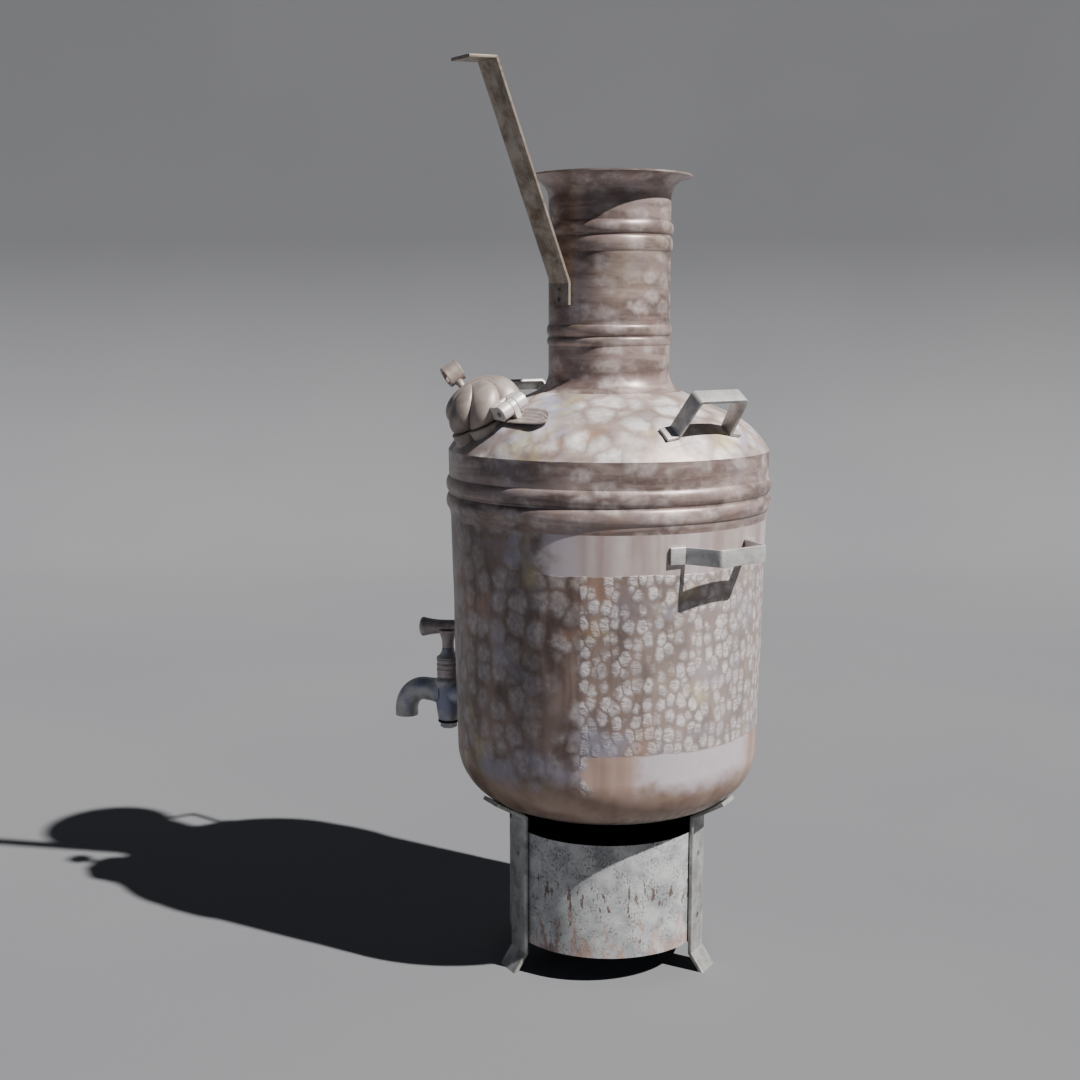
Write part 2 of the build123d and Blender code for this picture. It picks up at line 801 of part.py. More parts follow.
plug_shoulder_z = barrel_top_z - plug_shoulder_depth
bottom_washer_top_z = barrel_low_z - seal_gap
nut_top_z = bottom_washer_top_z - bottom_washer_t
nut_low_z = nut_top_z - nut_t
stem_top_z = t_bar_z - t_sink
handle_pin_plane = Plane(
    origin=tap_axis_point + Vector(0, 0, t_bar_z - handle_pin_drop), x_dir=(0, 0, 1), z_dir=tap_out
)
with BuildPart() as tap_plug:
    with BuildSketch(tap_section):
        with BuildLine():
            Polyline(
                (0, nut_low_z - thread_end),
                (thread_r, nut_low_z - thread_end),
                (thread_r, barrel_low_z),
                (plug_low_r, barrel_low_z),
                (plug_radius(plug_shoulder_z), plug_shoulder_z),
                (stem_r, plug_shoulder_z),
                (stem_r, stem_top_z),
                (0, stem_top_z),
                close=True,
            )
        make_face()
    revolve(axis=tap_axis)
    # the waterway lies across the inlet while the tap is shut
    with BuildSketch(
        Plane(
            origin=tap_axis_point + Vector(0, 0, tap_z),
            x_dir=(0, 0, 1),
            z_dir=tap_out.cross(Vector(0, 0, 1)),
        )
    ):
        Circle(plug_bore_r)
    extrude(amount=2 * plug_top_r, both=True, mode=Mode.SUBTRACT)
    with BuildSketch(handle_pin_plane):
        Circle(handle_pin_r)
    extrude(amount=gland_r, both=True, mode=Mode.SUBTRACT)
save(tap_plug, "tap_plug")


def tap_level(z):
    """Level plane on the tap's upright axis."""
    return Plane(origin=tap_axis_point + Vector(0, 0, z))


def ring_face(outer, inner):
    """Flat ring on the current sketch plane."""
    Circle(outer)
    Circle(inner, mode=Mode.SUBTRACT)


packing_low_z = plug_shoulder_z + packing_rest
with BuildPart() as tap_packing:
    with BuildSketch(tap_level(packing_low_z)):
        ring_face(plug_radius(packing_low_z), stem_r + running_gap)
    extrude(amount=barrel_top_z - packing_low_z)
save(tap_packing, "tap_packing")

with BuildPart() as tap_gland_nut:
    with BuildSketch(tap_level(barrel_top_z - gland_lip)):
        ring_face(gland_r, gland_r - gland_thread + running_gap)
    extrude(amount=gland_top_z - barrel_top_z + gland_lip)
save(tap_gland_nut, "tap_gland_nut")

with BuildPart() as tap_gland_follower:
    with BuildSketch(tap_section):
        with BuildLine():
            Polyline(
                (stem_r + running_gap, barrel_top_z),
                (gland_r - gland_thread, barrel_top_z),
                (gland_r - gland_thread, gland_top_z),
                (gland_r, gland_top_z),
                (gland_r, gland_top_z + follower_rim_t),
                (stem_r + follower_foot_wall, follower_top_z - follower_collar),
                (stem_r + follower_top_wall, follower_top_z),
                (stem_r + running_gap, follower_top_z),
                close=True,
            )
        make_face()
    revolve(axis=tap_axis)
save(tap_gland_follower, "tap_gland_follower")

bar_dir = tap_out.rotate(Axis.Z, tap_rest_turn)
handle_low_z = follower_top_z + handle_lift
with BuildPart() as tap_handle:
    # the crosspiece, waisted between its swollen ends
    bar_section = Plane(
        origin=tap_axis_point + Vector(0, 0, t_bar_z), x_dir=bar_dir, z_dir=(0, 0, 1)
    )
    with BuildSketch(bar_section):
        with BuildLine():
            crest = t_bar_half - t_end_r
            tip = (t_bar_half, 0.35 * t_end_r)
            swell = (t_bar_half - 0.25 * t_end_r, 0.8 * t_end_r)
            Line((-t_bar_half, 0), (-tip[0], tip[1]))
            ThreePointArc((-tip[0], tip[1]), (-swell[0], swell[1]), (-crest, t_end_r))
            ThreePointArc((-crest, t_end_r), (0, t_bar_r), (crest, t_end_r))
            ThreePointArc((crest, t_end_r), swell, tip)
            Line(tip, (t_bar_half, 0))
            Line((-t_bar_half, 0), (t_bar_half, 0))
        make_face()
    revolve(axis=Axis(bar_section.origin, bar_dir))
    # the neck that takes the stem
    with BuildSketch(tap_section):
        with BuildLine():
            neck_low = (stem_r + t_neck_wall, handle_low_z)
            neck_bend = (stem_r + t_neck_wall, t_bar_z - t_neck_straight)
            neck_wide = (t_neck_wide_r, stem_top_z)
            Line((0, handle_low_z), neck_low)
            Line(neck_low, neck_bend)
            TangentArc(neck_bend, neck_wide, tangent=(0, 1))
            Line(neck_wide, (0, stem_top_z))
            Line((0, stem_top_z), (0, handle_low_z))
        make_face()
    revolve(axis=tap_axis)
    with BuildSketch(tap_level(handle_low_z)):
        Circle(stem_r + running_gap)
    extrude(amount=stem_top_z - handle_low_z, mode=Mode.SUBTRACT)
    with BuildSketch(handle_pin_plane):
        Circle(handle_pin_r)
    extrude(amount=gland_r, both=True, mode=Mode.SUBTRACT)
save(tap_handle, "tap_handle")

with BuildPart() as tap_handle_pin:
    with BuildSketch(handle_pin_plane):
        Circle(handle_pin_r - running_gap)
    extrude(amount=handle_pin_half, both=True)
save(tap_handle_pin, "tap_handle_pin")

with BuildPart() as tap_bottom_washer:
    with BuildSketch(tap_level(nut_top_z)):
        ring_face(plug_low_r + barrel_wall, thread_r + running_gap)
    extrude(amount=bottom_washer_t)
save(tap_bottom_washer, "tap_bottom_washer")

with BuildPart() as tap_bottom_nut:
    with BuildSketch(tap_level(nut_low_z)):
        RegularPolygon(nut_corner_r, 6)
        Circle(thread_r + running_gap, mode=Mode.SUBTRACT)
    extrude(amount=nut_t)
save(tap_bottom_nut, "tap_bottom_nut")


# ---------------------------------------------------------------- filler
def lobed_outline(r, turn):
    """Closed outline of round lobes whose crests reach radius r."""
    step = 360 / lobes
    for i in range(lobes):
        a0 = radians(turn + step * i)
        a1 = radians(turn + step * (i + 0.5))
        a2 = radians(turn + step * (i + 1))
        root = r * lobe_root
        ThreePointArc(
            (root * cos(a0), root * sin(a0)),
            (r * cos(a1), r * sin(a1)),
            (root * cos(a2), root * sin(a2)),
        )


lid_base = flange_t + rest_gap
lid_seat_h = filler_tube_h + gasket_t + seal_gap
with BuildPart() as filler_neck:
    with BuildSketch(filler_plane.offset(-filler_tube_h)):
        with BuildLine():
            lobed_outline(flange_r, 0)
        make_face()
    extrude(amount=filler_tube_h + flange_t)
    with BuildSketch(filler_plane):
        Circle(filler_tube_r)
    extrude(amount=filler_tube_h)
    add(dome_body.part, mode=Mode.SUBTRACT)
    with BuildSketch(filler_plane.offset(-filler_tube_h)):
        Circle(filler_tube_r - running_gap)
    extrude(amount=filler_tube_h)
    with BuildSketch(filler_plane.offset(-2 * filler_tube_h)):
        Circle(filler_tube_r - filler_tube_t)
    extrude(amount=4 * filler_tube_h, mode=Mode.SUBTRACT)
save(filler_neck, "filler_neck")

with BuildPart() as filler_gasket:
    with BuildSketch(filler_plane.offset(filler_tube_h)):
        ring_face(filler_tube_r, filler_tube_r - 2 * filler_tube_t)
    extrude(amount=gasket_t)
save(filler_gasket, "filler_gasket")

# height above the flange, share of the lid's radius and twist of each level
lid_levels = (
    (0, 0.93, 0),
    (lid_h * 0.25, 1.0, 10),
    (lid_h * 0.55, 0.88, 22),
    (lid_h * 0.8, 0.6, 34),
    (lid_h * 0.92, 0.26, 44),
)
with BuildPart() as filler_lid:
    for height, share, twist in lid_levels:
        with BuildSketch(filler_plane.offset(lid_base + height)):
            with BuildLine():
                lobed_outline(lid_r * share, twist)
            make_face()
    loft()
    with BuildSketch(filler_plane.offset(lid_base)):
        Circle(filler_tube_r + lid_cavity_gap)
    extrude(amount=lid_seat_h - lid_base, mode=Mode.SUBTRACT)
save(filler_lid, "filler_lid")

# section across the hinge: local x away from the lid, local y out of the dome
hinge_section = Plane(
    origin=hinge_plane.origin, x_dir=hinge_plane.x_dir, z_dir=-hinge_plane.y_dir
)
hinge_axis = Axis(hinge_plane.from_local_coords((hinge_reach, 0, hinge_h)), hinge_plane.y_dir)

with BuildPart() as lid_knuckle:
    with BuildSketch(hinge_section):
        with Locations((hinge_reach, hinge_h)):
            Circle(knuckle_r)
        with Locations((hinge_reach - knuckle_r, hinge_h)):
            Rectangle(2 * knuckle_r, 2 * knuckle_r - hinge_cheek_trim)
        with Locations((hinge_reach, hinge_h)):
            Circle(hinge_pin_r + running_gap, mode=Mode.SUBTRACT)
    extrude(amount=knuckle_w / 2, both=True)
    with BuildSketch(hinge_section):
        with Locations((hinge_reach, hinge_h)):
            Rectangle(2 * (knuckle_r + rest_gap), 4 * knuckle_r)
    extrude(amount=tongue_w / 2 + rest_gap, both=True, mode=Mode.SUBTRACT)
    add(filler_lid.part, mode=Mode.SUBTRACT)
    with BuildSketch(filler_plane.offset(lid_base)):
        Circle(lid_r * lobe_root * lid_levels[0][1])
    extrude(amount=2 * hinge_h, mode=Mode.SUBTRACT)
save(lid_knuckle, "lid_knuckle")

with BuildPart() as hinge_pin:
    with BuildSketch(hinge_section):
        with Locations((hinge_reach, hinge_h)):
            Circle(hinge_pin_r)
    extrude(amount=knuckle_w / 2 + sheet_t / 2, both=True)
save(hinge_pin, "hinge_pin")

leaf_root = -leaf_len / 2
with BuildPart() as hinge_leaf:
    with BuildSketch(leaf_plane.offset(leaf_lift)):
        with BuildLine():
            Line((leaf_root, leaf_w / 2), (leaf_root, -leaf_w / 2))
            nose_start = (leaf_len / 3, -0.45 * leaf_w)
            nose_middle = (0.46 * leaf_len, -0.32 * leaf_w)
            nose_tip = (leaf_len / 2, -0.1 * leaf_w)
            far_middle = (0.16 * leaf_len, 0.4 * leaf_w)
            Line((leaf_root, -leaf_w / 2), nose_start)
            ThreePointArc(nose_start, nose_middle, nose_tip)
            ThreePointArc(nose_tip, far_middle, (leaf_root, leaf_w / 2))
        make_face()
    extrude(amount=leaf_t)
    for plane in leaf_rivet_planes():
        with BuildSketch(plane.offset(-leaf_lift)):
            Circle(2 * handle_rivet_r)
        extrude(amount=2 * leaf_lift)
    with BuildSketch(hinge_section):
        with Locations((hinge_reach, hinge_h)):
            Circle(knuckle_r - hinge_cheek_trim / 2)
        with Locations((hinge_reach + knuckle_r / 2, hinge_h - knuckle_r)):
            Rectangle(knuckle_r, 2 * knuckle_r)
    extrude(amount=tongue_w / 2, both=True)
    with BuildSketch(hinge_section):
        with Locations((hinge_reach, hinge_h)):
            Circle(hinge_pin_r + running_gap)
    extrude(amount=knuckle_w, both=True, mode=Mode.SUBTRACT)
    for plane in leaf_rivet_planes():
        with BuildSketch(plane):
            Circle(handle_rivet_r + running_gap)
        extrude(amount=4 * leaf_t, both=True, mode=Mode.SUBTRACT)
    add(dome_body.part, mode=Mode.SUBTRACT)
save(hinge_leaf, "hinge_leaf")

with BuildPart() as hinge_leaf_rivets:
    for plane in leaf_rivet_planes():
        section = Plane(origin=plane.origin, x_dir=plane.z_dir, z_dir=plane.x_dir)
        with BuildSketch(section):
            with BuildLine():
                skin = -sheet_t - rivet_settle
                rivet_profile(skin, leaf_lift + leaf_t, handle_rivet_r, dome_round_r / 2)
            make_face()
        revolve(axis=Axis(plane.origin, plane.z_dir))
save(hinge_leaf_rivets, "hinge_leaf_rivets")

eye_point = filler_plane.from_local_coords(eye_centre)
stem_point = filler_plane.from_local_coords(eye_stem_foot)
eye_axis = Vector(*eye_lean).normalized()
with BuildPart() as lid_eye:
    with BuildSketch(Plane(origin=stem_point, z_dir=eye_point - stem_point)):
        Circle(eye_stem_r)
    extrude(amount=(eye_point - stem_point).length)
    with BuildSketch(Plane(origin=eye_point, z_dir=eye_axis)):
        Circle(eye_r)
    extrude(amount=eye_len / 2, both=True)
    with BuildSketch(Plane(origin=eye_point, z_dir=eye_axis)):
        Circle(eye_bore_r)
    extrude(amount=eye_len, both=True, mode=Mode.SUBTRACT)
    add(filler_lid.part, mode=Mode.SUBTRACT)
save(lid_eye, "lid_eye")
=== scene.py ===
# %% [markdown]
# # A copper alembic still, dressed over its CAD frame
# The CAD model is a fixed frame: every sheet, bar and casting already has its place.
# Here each visible piece is made again as a smooth surface worked out with numpy, or keeps
# its CAD shape, and gets the finish that an old still has: hammered copper with lime scale,
# galvanised bar, sooty sheet iron and a bronze tap whose blue-grey patches are a painted sky reflection.

# %% Load the frame
from math import atan2, cos, degrees, pi, radians, sin, sqrt, tan

import bpy
import numpy as np
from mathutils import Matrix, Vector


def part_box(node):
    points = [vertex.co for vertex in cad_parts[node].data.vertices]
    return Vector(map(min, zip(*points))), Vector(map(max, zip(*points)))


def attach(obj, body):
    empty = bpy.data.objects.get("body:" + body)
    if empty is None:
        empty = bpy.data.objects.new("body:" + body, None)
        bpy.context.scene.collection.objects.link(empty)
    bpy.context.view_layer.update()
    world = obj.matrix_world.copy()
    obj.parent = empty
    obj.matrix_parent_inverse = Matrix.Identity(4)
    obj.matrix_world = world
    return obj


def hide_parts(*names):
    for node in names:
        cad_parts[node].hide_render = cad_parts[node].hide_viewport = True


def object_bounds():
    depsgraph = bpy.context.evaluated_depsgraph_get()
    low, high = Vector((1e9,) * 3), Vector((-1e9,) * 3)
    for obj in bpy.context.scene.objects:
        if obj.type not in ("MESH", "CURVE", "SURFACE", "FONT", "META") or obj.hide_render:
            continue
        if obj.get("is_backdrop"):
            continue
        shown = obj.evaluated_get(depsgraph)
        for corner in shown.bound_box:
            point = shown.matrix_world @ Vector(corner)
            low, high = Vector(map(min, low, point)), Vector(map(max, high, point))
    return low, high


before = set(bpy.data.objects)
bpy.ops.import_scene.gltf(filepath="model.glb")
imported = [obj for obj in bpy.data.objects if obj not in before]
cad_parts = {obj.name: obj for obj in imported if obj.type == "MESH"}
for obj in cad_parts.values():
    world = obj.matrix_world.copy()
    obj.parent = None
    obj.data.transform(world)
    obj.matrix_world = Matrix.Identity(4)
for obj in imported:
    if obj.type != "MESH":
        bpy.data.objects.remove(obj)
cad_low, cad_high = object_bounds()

MM = 0.001
print("CAD box, m:", [round(v, 4) for v in cad_low], [round(v, 4) for v in cad_high])

# %% [markdown]
# ## From arrays to meshes
# A sheet, a bar and a casting are all a grid of points: rows one way, columns the other.
# A closed direction wraps round. Faces are written for the whole grid at once, and the
# enclosed volume tells whether they face outwards, so no piece ends up inside out.


# %% Grid of points to vertices, faces and a map in metres
def patch(grid, wrap_rows=True, wrap_cols=True, uv=None, finish=None):
    """Faces join point (r, c) to (r+1, c), (r+1, c+1), (r, c+1); open rows get flat end caps."""
    rows, cols = grid.shape[:2]
    r = np.arange(rows if wrap_rows else rows - 1)
    c = np.arange(cols if wrap_cols else cols - 1)
    R, C = np.meshgrid(r, c, indexing="ij")
    R, C = R.ravel(), C.ravel()
    R2, C2 = (R + 1) % rows, (C + 1) % cols
    quads = np.stack([R * cols + C, R2 * cols + C, R2 * cols + C2, R * cols + C2], 1)
    if uv is None:
        uv = np.stack(np.meshgrid(np.arange(rows + 1), np.arange(cols + 1), indexing="ij"), -1) * MM
    corner_uv = np.stack([uv[R, C], uv[R + 1, C], uv[R + 1, C + 1], uv[R, C + 1]], 1)
    face_finish = np.zeros(len(quads), int) if finish is None else np.asarray(finish)[C]
    piece = {
        "points": grid.reshape(-1, 3).astype(float),
        "faces": quads.tolist(),
        "uv": corner_uv.reshape(-1, 2),
        "finish": face_finish.tolist(),
    }
    if not wrap_rows and wrap_cols:
        first = np.arange(cols)
        for ring, order in ((0, -1), (rows - 1, 1)):
            cap = (first + ring * cols)[::order]
            piece["faces"].append(cap.tolist())
            across = grid[ring][::order]
            flat = across[:, :2] - across[:, :2].mean(0) + uv[ring, 0]
            piece["uv"] = np.vstack([piece["uv"], flat])
            piece["finish"].append(int(face_finish[0]))
    tri = piece["points"][quads[:, [0, 1, 2, 0, 2, 3]].reshape(-1, 3)] - piece["points"].mean(0)
    volume = np.einsum("ij,ij->i", tri[:, 0], np.cross(tri[:, 1], tri[:, 2])).sum()
    if volume < 0:
        sizes = [len(f) for f in piece["faces"]]
        turned = np.concatenate([np.arange(e - 1, e - n - 1, -1) for e, n in zip(np.cumsum(sizes), sizes)])
        piece["faces"] = [f[::-1] for f in piece["faces"]]
        piece["uv"] = piece["uv"][turned]
    return piece


# %% Patches to one finished object that rides on its body
def make(name, patches, materials, body, replaces=(), crease=35):
    """One object from several patches; edges sharper than crease degrees stay sharp."""
    points, faces, uv, finish, start = [], [], [], [], 0
    for p in patches:
        points.append(p["points"])
        faces += [[i + start for i in f] for f in p["faces"]]
        uv.append(p["uv"])
        finish += p["finish"]
        start += len(p["points"])
    mesh = bpy.data.meshes.new(name)
    mesh.from_pydata((np.vstack(points) * MM).tolist(), [], faces)
    layer = mesh.uv_layers.new(name="Sheet")
    layer.data.foreach_set("uv", np.vstack(uv).ravel().astype(np.float32))
    mesh.polygons.foreach_set("material_index", finish)
    mesh.polygons.foreach_set("use_smooth", [True] * len(faces))
    mesh.set_sharp_from_angle(angle=radians(crease))
    for material in materials:
        mesh.materials.append(material)
    mesh.validate()
    obj = bpy.data.objects.new(name, mesh)
    bpy.context.scene.collection.objects.link(obj)
    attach(obj, body)
    if replaces:
        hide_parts(*replaces)
    print(f"{name}: {len(faces)} faces on {body}")


# %% [markdown]
# ## Finishes
# A finish starts from the metal and how it was worked. Colours are sRGB hex values, turned
# to linear once. One small function adds a node; each finish reads from top to bottom.


# %% Colour and node helpers
def hexrgb(code):
    """sRGB hex to linear: c/12.92 below 0.04045, otherwise ((c + 0.055) / 1.055) ** 2.4."""
    s = np.array([int(code[i : i + 2], 16) for i in (1, 3, 5)]) / 255
    low = s / 12.92
    high = ((s + 0.055) / 1.055) ** 2.4
    return (*np.where(s <= 0.04045, low, high).tolist(), 1.0)


def put(tree, socket, value):
    """Links an output to the socket, or sets the socket's own number or colour."""
    if isinstance(value, bpy.types.NodeSocket):
        tree.links.new(value, socket)
    else:
        socket.default_value = value


def node(tree, kind, inputs=None, **settings):
    """Adds a node, sets its properties, then its inputs."""
    n = tree.nodes.new(kind)
    for key, value in settings.items():
        setattr(n, key, value)
    for key, value in (inputs or {}).items():
        put(tree, n.inputs[key], value)
    return n


def new_finish(name):
    """Empty node tree with its shader and output."""
    material = bpy.data.materials.new(name)
    material.use_nodes = True
    tree = material.node_tree
    tree.nodes.clear()
    shader = node(tree, "ShaderNodeBsdfPrincipled")
    node(tree, "ShaderNodeOutputMaterial", {"Surface": shader.outputs[0]})
    return material, tree, shader


def surface(tree, shader, colour, roughness, metallic=0.0, height=None, bump_mm=0.0):
    """Colour, roughness and metallic share on the shader, and a bump of bump_mm from height."""
    for key, value in (("Base Color", colour), ("Roughness", roughness), ("Metallic", metallic)):
        put(tree, shader.inputs[key], value)
    if height is not None:
        relief = {"Height": height, "Distance": bump_mm * MM, "Strength": 1.0}
        put(tree, shader.inputs["Normal"], node(tree, "ShaderNodeBump", relief).outputs[0])


def blend(tree, share, a, b, how="MIX"):
    """Colour a turned towards colour b by share, from 0 to 1; either may be a hex value."""
    a, b = (hexrgb(v) if isinstance(v, str) else v for v in (a, b))
    return node(tree, "ShaderNodeMix", {0: share, 6: a, 7: b}, data_type="RGBA", blend_type=how).outputs[2]


def window(tree, value, low, high, bottom=0.0, top=1.0):
    """Share that rises smoothly from bottom at low to top at high."""
    span = {"Value": value, "From Min": low, "From Max": high, "To Min": bottom, "To Max": top}
    return node(tree, "ShaderNodeMapRange", span, interpolation_type="SMOOTHSTEP").outputs["Result"]


def combine(tree, how, first, *others):
    """The same arithmetic step with each further number."""
    for other in others:
        first = node(tree, "ShaderNodeMath", {0: first, 1: other}, operation=how).outputs[0]
    return first


def times(tree, *factors):
    """Product of numbers, which leaves a share only where all are high."""
    return combine(tree, "MULTIPLY", *factors)


def grain(tree, where, size_mm, detail=3.0, rough=0.55, warp=0.0):
    """Noise whose blotches are about size_mm across."""
    noise = {"Vector": where, "Scale": 1 / (size_mm * MM), "Detail": detail, "Roughness": rough}
    return node(tree, "ShaderNodeTexNoise", {**noise, "Distortion": warp}).outputs["Fac"]


def stretched(tree, where, scale):
    """Coordinates scaled on each axis, which stretches a pattern along the small ones."""
    return node(tree, "ShaderNodeMapping", {"Vector": where, "Scale": scale}).outputs[0]


print("helpers ready")

# %% [markdown]
# ### Old copper
# Copper sheet was hammered or spun, then boiled, limed and left damp for years. What the eye
# gets: a brown-pink ground, pale scale that sits on each hammer facet and stops at the
# hollows between, cool lilac and warm yellow tints over a hand's breadth, and darker grooves.
# The facets could be modelled one by one, but they are hundreds and a tenth of a millimetre
# deep, so a cell pattern at the real hammer size gives both the colour and the bump.


# %% Facets left by the hammer
def facets(tree, where, size_mm, stretch=(1.0, 1.0, 1.0), even=0.62, groove=(0.0, 0.24), differ=0.5,
           spot=(0.66, 0.28)):
    """1 on a facet, 0 in the hollow round it, a little less in its middle: a round spot about
    each cell's centre, cut by the distance to the cell's edge, in cells of size_mm, on
    coordinates bent by a slow and a quick noise. Each facet is dulled by its own share."""
    bent_where = where
    for share, wave in ((0.60, 2.0), (0.34, 0.40)):
        noise = {"Vector": where, "Scale": 1 / (wave * size_mm * MM), "Detail": 2.0}
        wander = node(tree, "ShaderNodeTexNoise", noise).outputs["Color"]
        shift = {0: wander, 1: (share * size_mm * MM,) * 3, 2: bent_where}
        bent_where = node(tree, "ShaderNodeVectorMath", shift, operation="MULTIPLY_ADD").outputs[0]
    cells = {"Vector": stretched(tree, bent_where, stretch), "Scale": 1 / (size_mm * MM), "Randomness": even}
    edge = node(tree, "ShaderNodeTexVoronoi", cells, feature="DISTANCE_TO_EDGE").outputs["Distance"]
    nearest = node(tree, "ShaderNodeTexVoronoi", cells, feature="F1")
    from_centre = nearest.outputs["Distance"]
    own = node(tree, "ShaderNodeSeparateXYZ", {0: nearest.outputs["Color"]}).outputs[0]
    middle = window(tree, from_centre, 0.06, 0.28, 0.80, 1.0)
    dull = window(tree, own, 0.0, 1.0, 1.0 - differ, 1.0)
    return times(tree, window(tree, from_centre, *spot), window(tree, edge, *groove), middle, dull)


# %% Copper finish
def old_copper(
    name,
    facet_mm,
    scale_share,
    ground,
    scale,
    facet_stretch=(1.0, 1.0, 1.0),
    streak=(1.0, 1.0, 1.0),
    tint=1.0,
    tints=("#9c99ab", "#b8a87f", "#96694a"),
    bump_mm=0.35,
    rough=(0.42, 0.62),
    groove=(0.03, 0.17),
    patches=(0.30, 0.52),
    spot=(0.66, 0.28),
    panel=None,
):
    """Ground colour + scale on the facets + slow tints; roughness and bump follow the facets.
    With a panel, the facets lie on the sheet's own map, otherwise in the piece's space."""
    material, tree, shader = new_finish(name)
    coords = node(tree, "ShaderNodeTexCoord")
    place = coords.outputs["Object"]
    where = coords.outputs["UV"] if panel else place
    facet = facets(tree, where, facet_mm, facet_stretch, groove=groove, spot=spot)
    if panel:
        facet = panel["facets"](tree, coords, facet)
    slow = grain(tree, place, 95.0, 3.0, 0.6)
    fine = grain(tree, place, 6.0, 5.0, 0.65)
    streaks = grain(tree, stretched(tree, place, streak), 26.0, 4.0, 0.6, 0.6)
    base = blend(tree, window(tree, streaks, 0.35, 0.68), *ground)
    base = blend(tree, window(tree, fine, 0.48, 0.74, 0.0, 0.45), base, ground[1])
    patchy = window(tree, grain(tree, place, 1.6 * facet_mm, 4.0, 0.6, 0.4), *patches, 0.25, 1.0)
    cover = times(tree, facet, patchy, scale_share)
    colour = blend(tree, cover, base, blend(tree, window(tree, fine, 0.36, 0.66), *scale))
    spread = ((0.52, 0.72, 0.42), (0.56, 0.74, 0.40), (0.58, 0.78, 0.42))
    for step, ((low, high, share), code) in enumerate(zip(spread, tints)):
        away = (0.7 * step, 1.3 * step, 2.1 * step)
        moved = node(tree, "ShaderNodeVectorMath", {0: place, 1: away}).outputs[0]
        stain = window(tree, grain(tree, moved, 62.0, 3.0, 0.55, 0.6), low, high, 0.0, share * tint)
        colour = blend(tree, stain, colour, code)
    colour = blend(tree, 1.0, colour, window(tree, slow, 0.30, 0.70, 0.80, 1.12), "MULTIPLY")
    roughness = window(tree, cover, 0.0, 0.8, *rough)
    height = combine(tree, "ADD", facet, times(tree, fine, 0.35))
    if panel:
        colour, roughness, height = panel["bands"](tree, coords, colour, roughness, height)
    surface(tree, shader, colour, roughness, 0.30, height, bump_mm)
    return material


# %% [markdown]
# ### The worked panel on the wall
# On the front right of the wall someone planished a panel again with a small hammer, and
# above and below it the copper was left smooth. The panel could be a second material, but its
# edges wander, so it is told from the wall's own map: along = arc from the front, up = height.


# %% Panel: small facets, smooth bands
panel_left, panel_low, panel_high = -0.0255, 0.250, 0.420


def panel_map(tree, coords):
    """Arc from the front and height, both with a slight wander, and the wander, in metres."""
    uv = coords.outputs["UV"]
    split = node(tree, "ShaderNodeSeparateXYZ", {0: uv})
    wander = combine(tree, "SUBTRACT", grain(tree, uv, 34.0, 3.0, 0.6), 0.5)
    along = combine(tree, "ADD", split.outputs[0], times(tree, wander, 0.012))
    up = combine(tree, "ADD", split.outputs[1], times(tree, wander, 0.006))
    return along, up, wander


def small_facets(tree, coords, facet):
    """Right of the panel's edge the facets are about half the size, chipped, and nearly touch."""
    along, _, _ = panel_map(tree, coords)
    uv = coords.outputs["UV"]
    chips = grain(tree, stretched(tree, uv, (0.6, 1.6, 1.0)), 5.0, 3.0, 0.6, 0.8)
    small = facets(tree, uv, 12.0, (1.15, 0.80, 1.0), 0.70, (-0.12, 0.16), 0.30)
    small = times(tree, small, window(tree, chips, 0.30, 0.56, 0.45, 1.25))
    left = window(tree, along, panel_left - 0.0015, panel_left + 0.0015)
    inside = times(tree, left, window(tree, along, 0.250, 0.240))
    return node(tree, "ShaderNodeMix", {0: inside, 2: times(tree, facet, 0.60), 3: small}).outputs[0]


def plain_bands(tree, coords, colour, roughness, height):
    """Smooth copper with upright streaks above and below the panel, then the pan's round,
    browned by the fire, and soot under it."""
    along, up, wander = panel_map(tree, coords)
    uv = coords.outputs["UV"]
    left = window(tree, along, panel_left - 0.0015, panel_left + 0.0015)
    limed = times(tree, left, window(tree, along, -0.02, 0.13, 0.04, 0.26))
    colour = blend(tree, limed, colour, "#d2c8c4")
    loose = combine(tree, "ADD", along, times(tree, wander, 0.05))
    arc = times(tree, window(tree, loose, -0.072, -0.040), window(tree, loose, 0.262, 0.235))
    high = window(tree, up, panel_high - 0.0005, panel_high + 0.0005)
    low = window(tree, up, panel_low + 0.001, panel_low - 0.001)
    low = times(tree, low, window(tree, loose, -0.022, -0.008))
    share = times(tree, arc, combine(tree, "MAXIMUM", high, low))
    streak = stretched(tree, uv, (1.0, 0.06, 1.0))
    tall = window(tree, grain(tree, streak, 24.0, 3.0, 0.5), 0.36, 0.64)
    lilac = window(tree, grain(tree, streak, 60.0, 2.0, 0.5), 0.46, 0.62, 0.0, 0.70)
    above = blend(tree, lilac, blend(tree, tall, "#a4918b", "#c4b8b5"), "#c0b7bf")
    pale = times(tree, window(tree, loose, 0.018, 0.042), window(tree, loose, 0.19, 0.15))
    below = blend(tree, pale, blend(tree, tall, "#a08578", "#b89d90"), "#c3b8bd")
    colour = blend(tree, share, colour, blend(tree, low, above, below))
    fired = window(tree, combine(tree, "ADD", up, times(tree, wander, 0.03)), 0.226, 0.202)
    cloud = window(tree, grain(tree, coords.outputs["Object"], 40.0, 4.0, 0.55), 0.35, 0.65)
    sooty = window(tree, up, 0.180, 0.169)
    browned = blend(tree, sooty, blend(tree, cloud, "#836a5c", "#9e8678"), "#2b2421")
    colour = blend(tree, fired, colour, browned)
    share = combine(tree, "MAXIMUM", share, fired)
    height = times(tree, height, combine(tree, "SUBTRACT", 1.0, share))
    roughness = combine(tree, "SUBTRACT", roughness, times(tree, share, 0.14))
    return colour, roughness, height


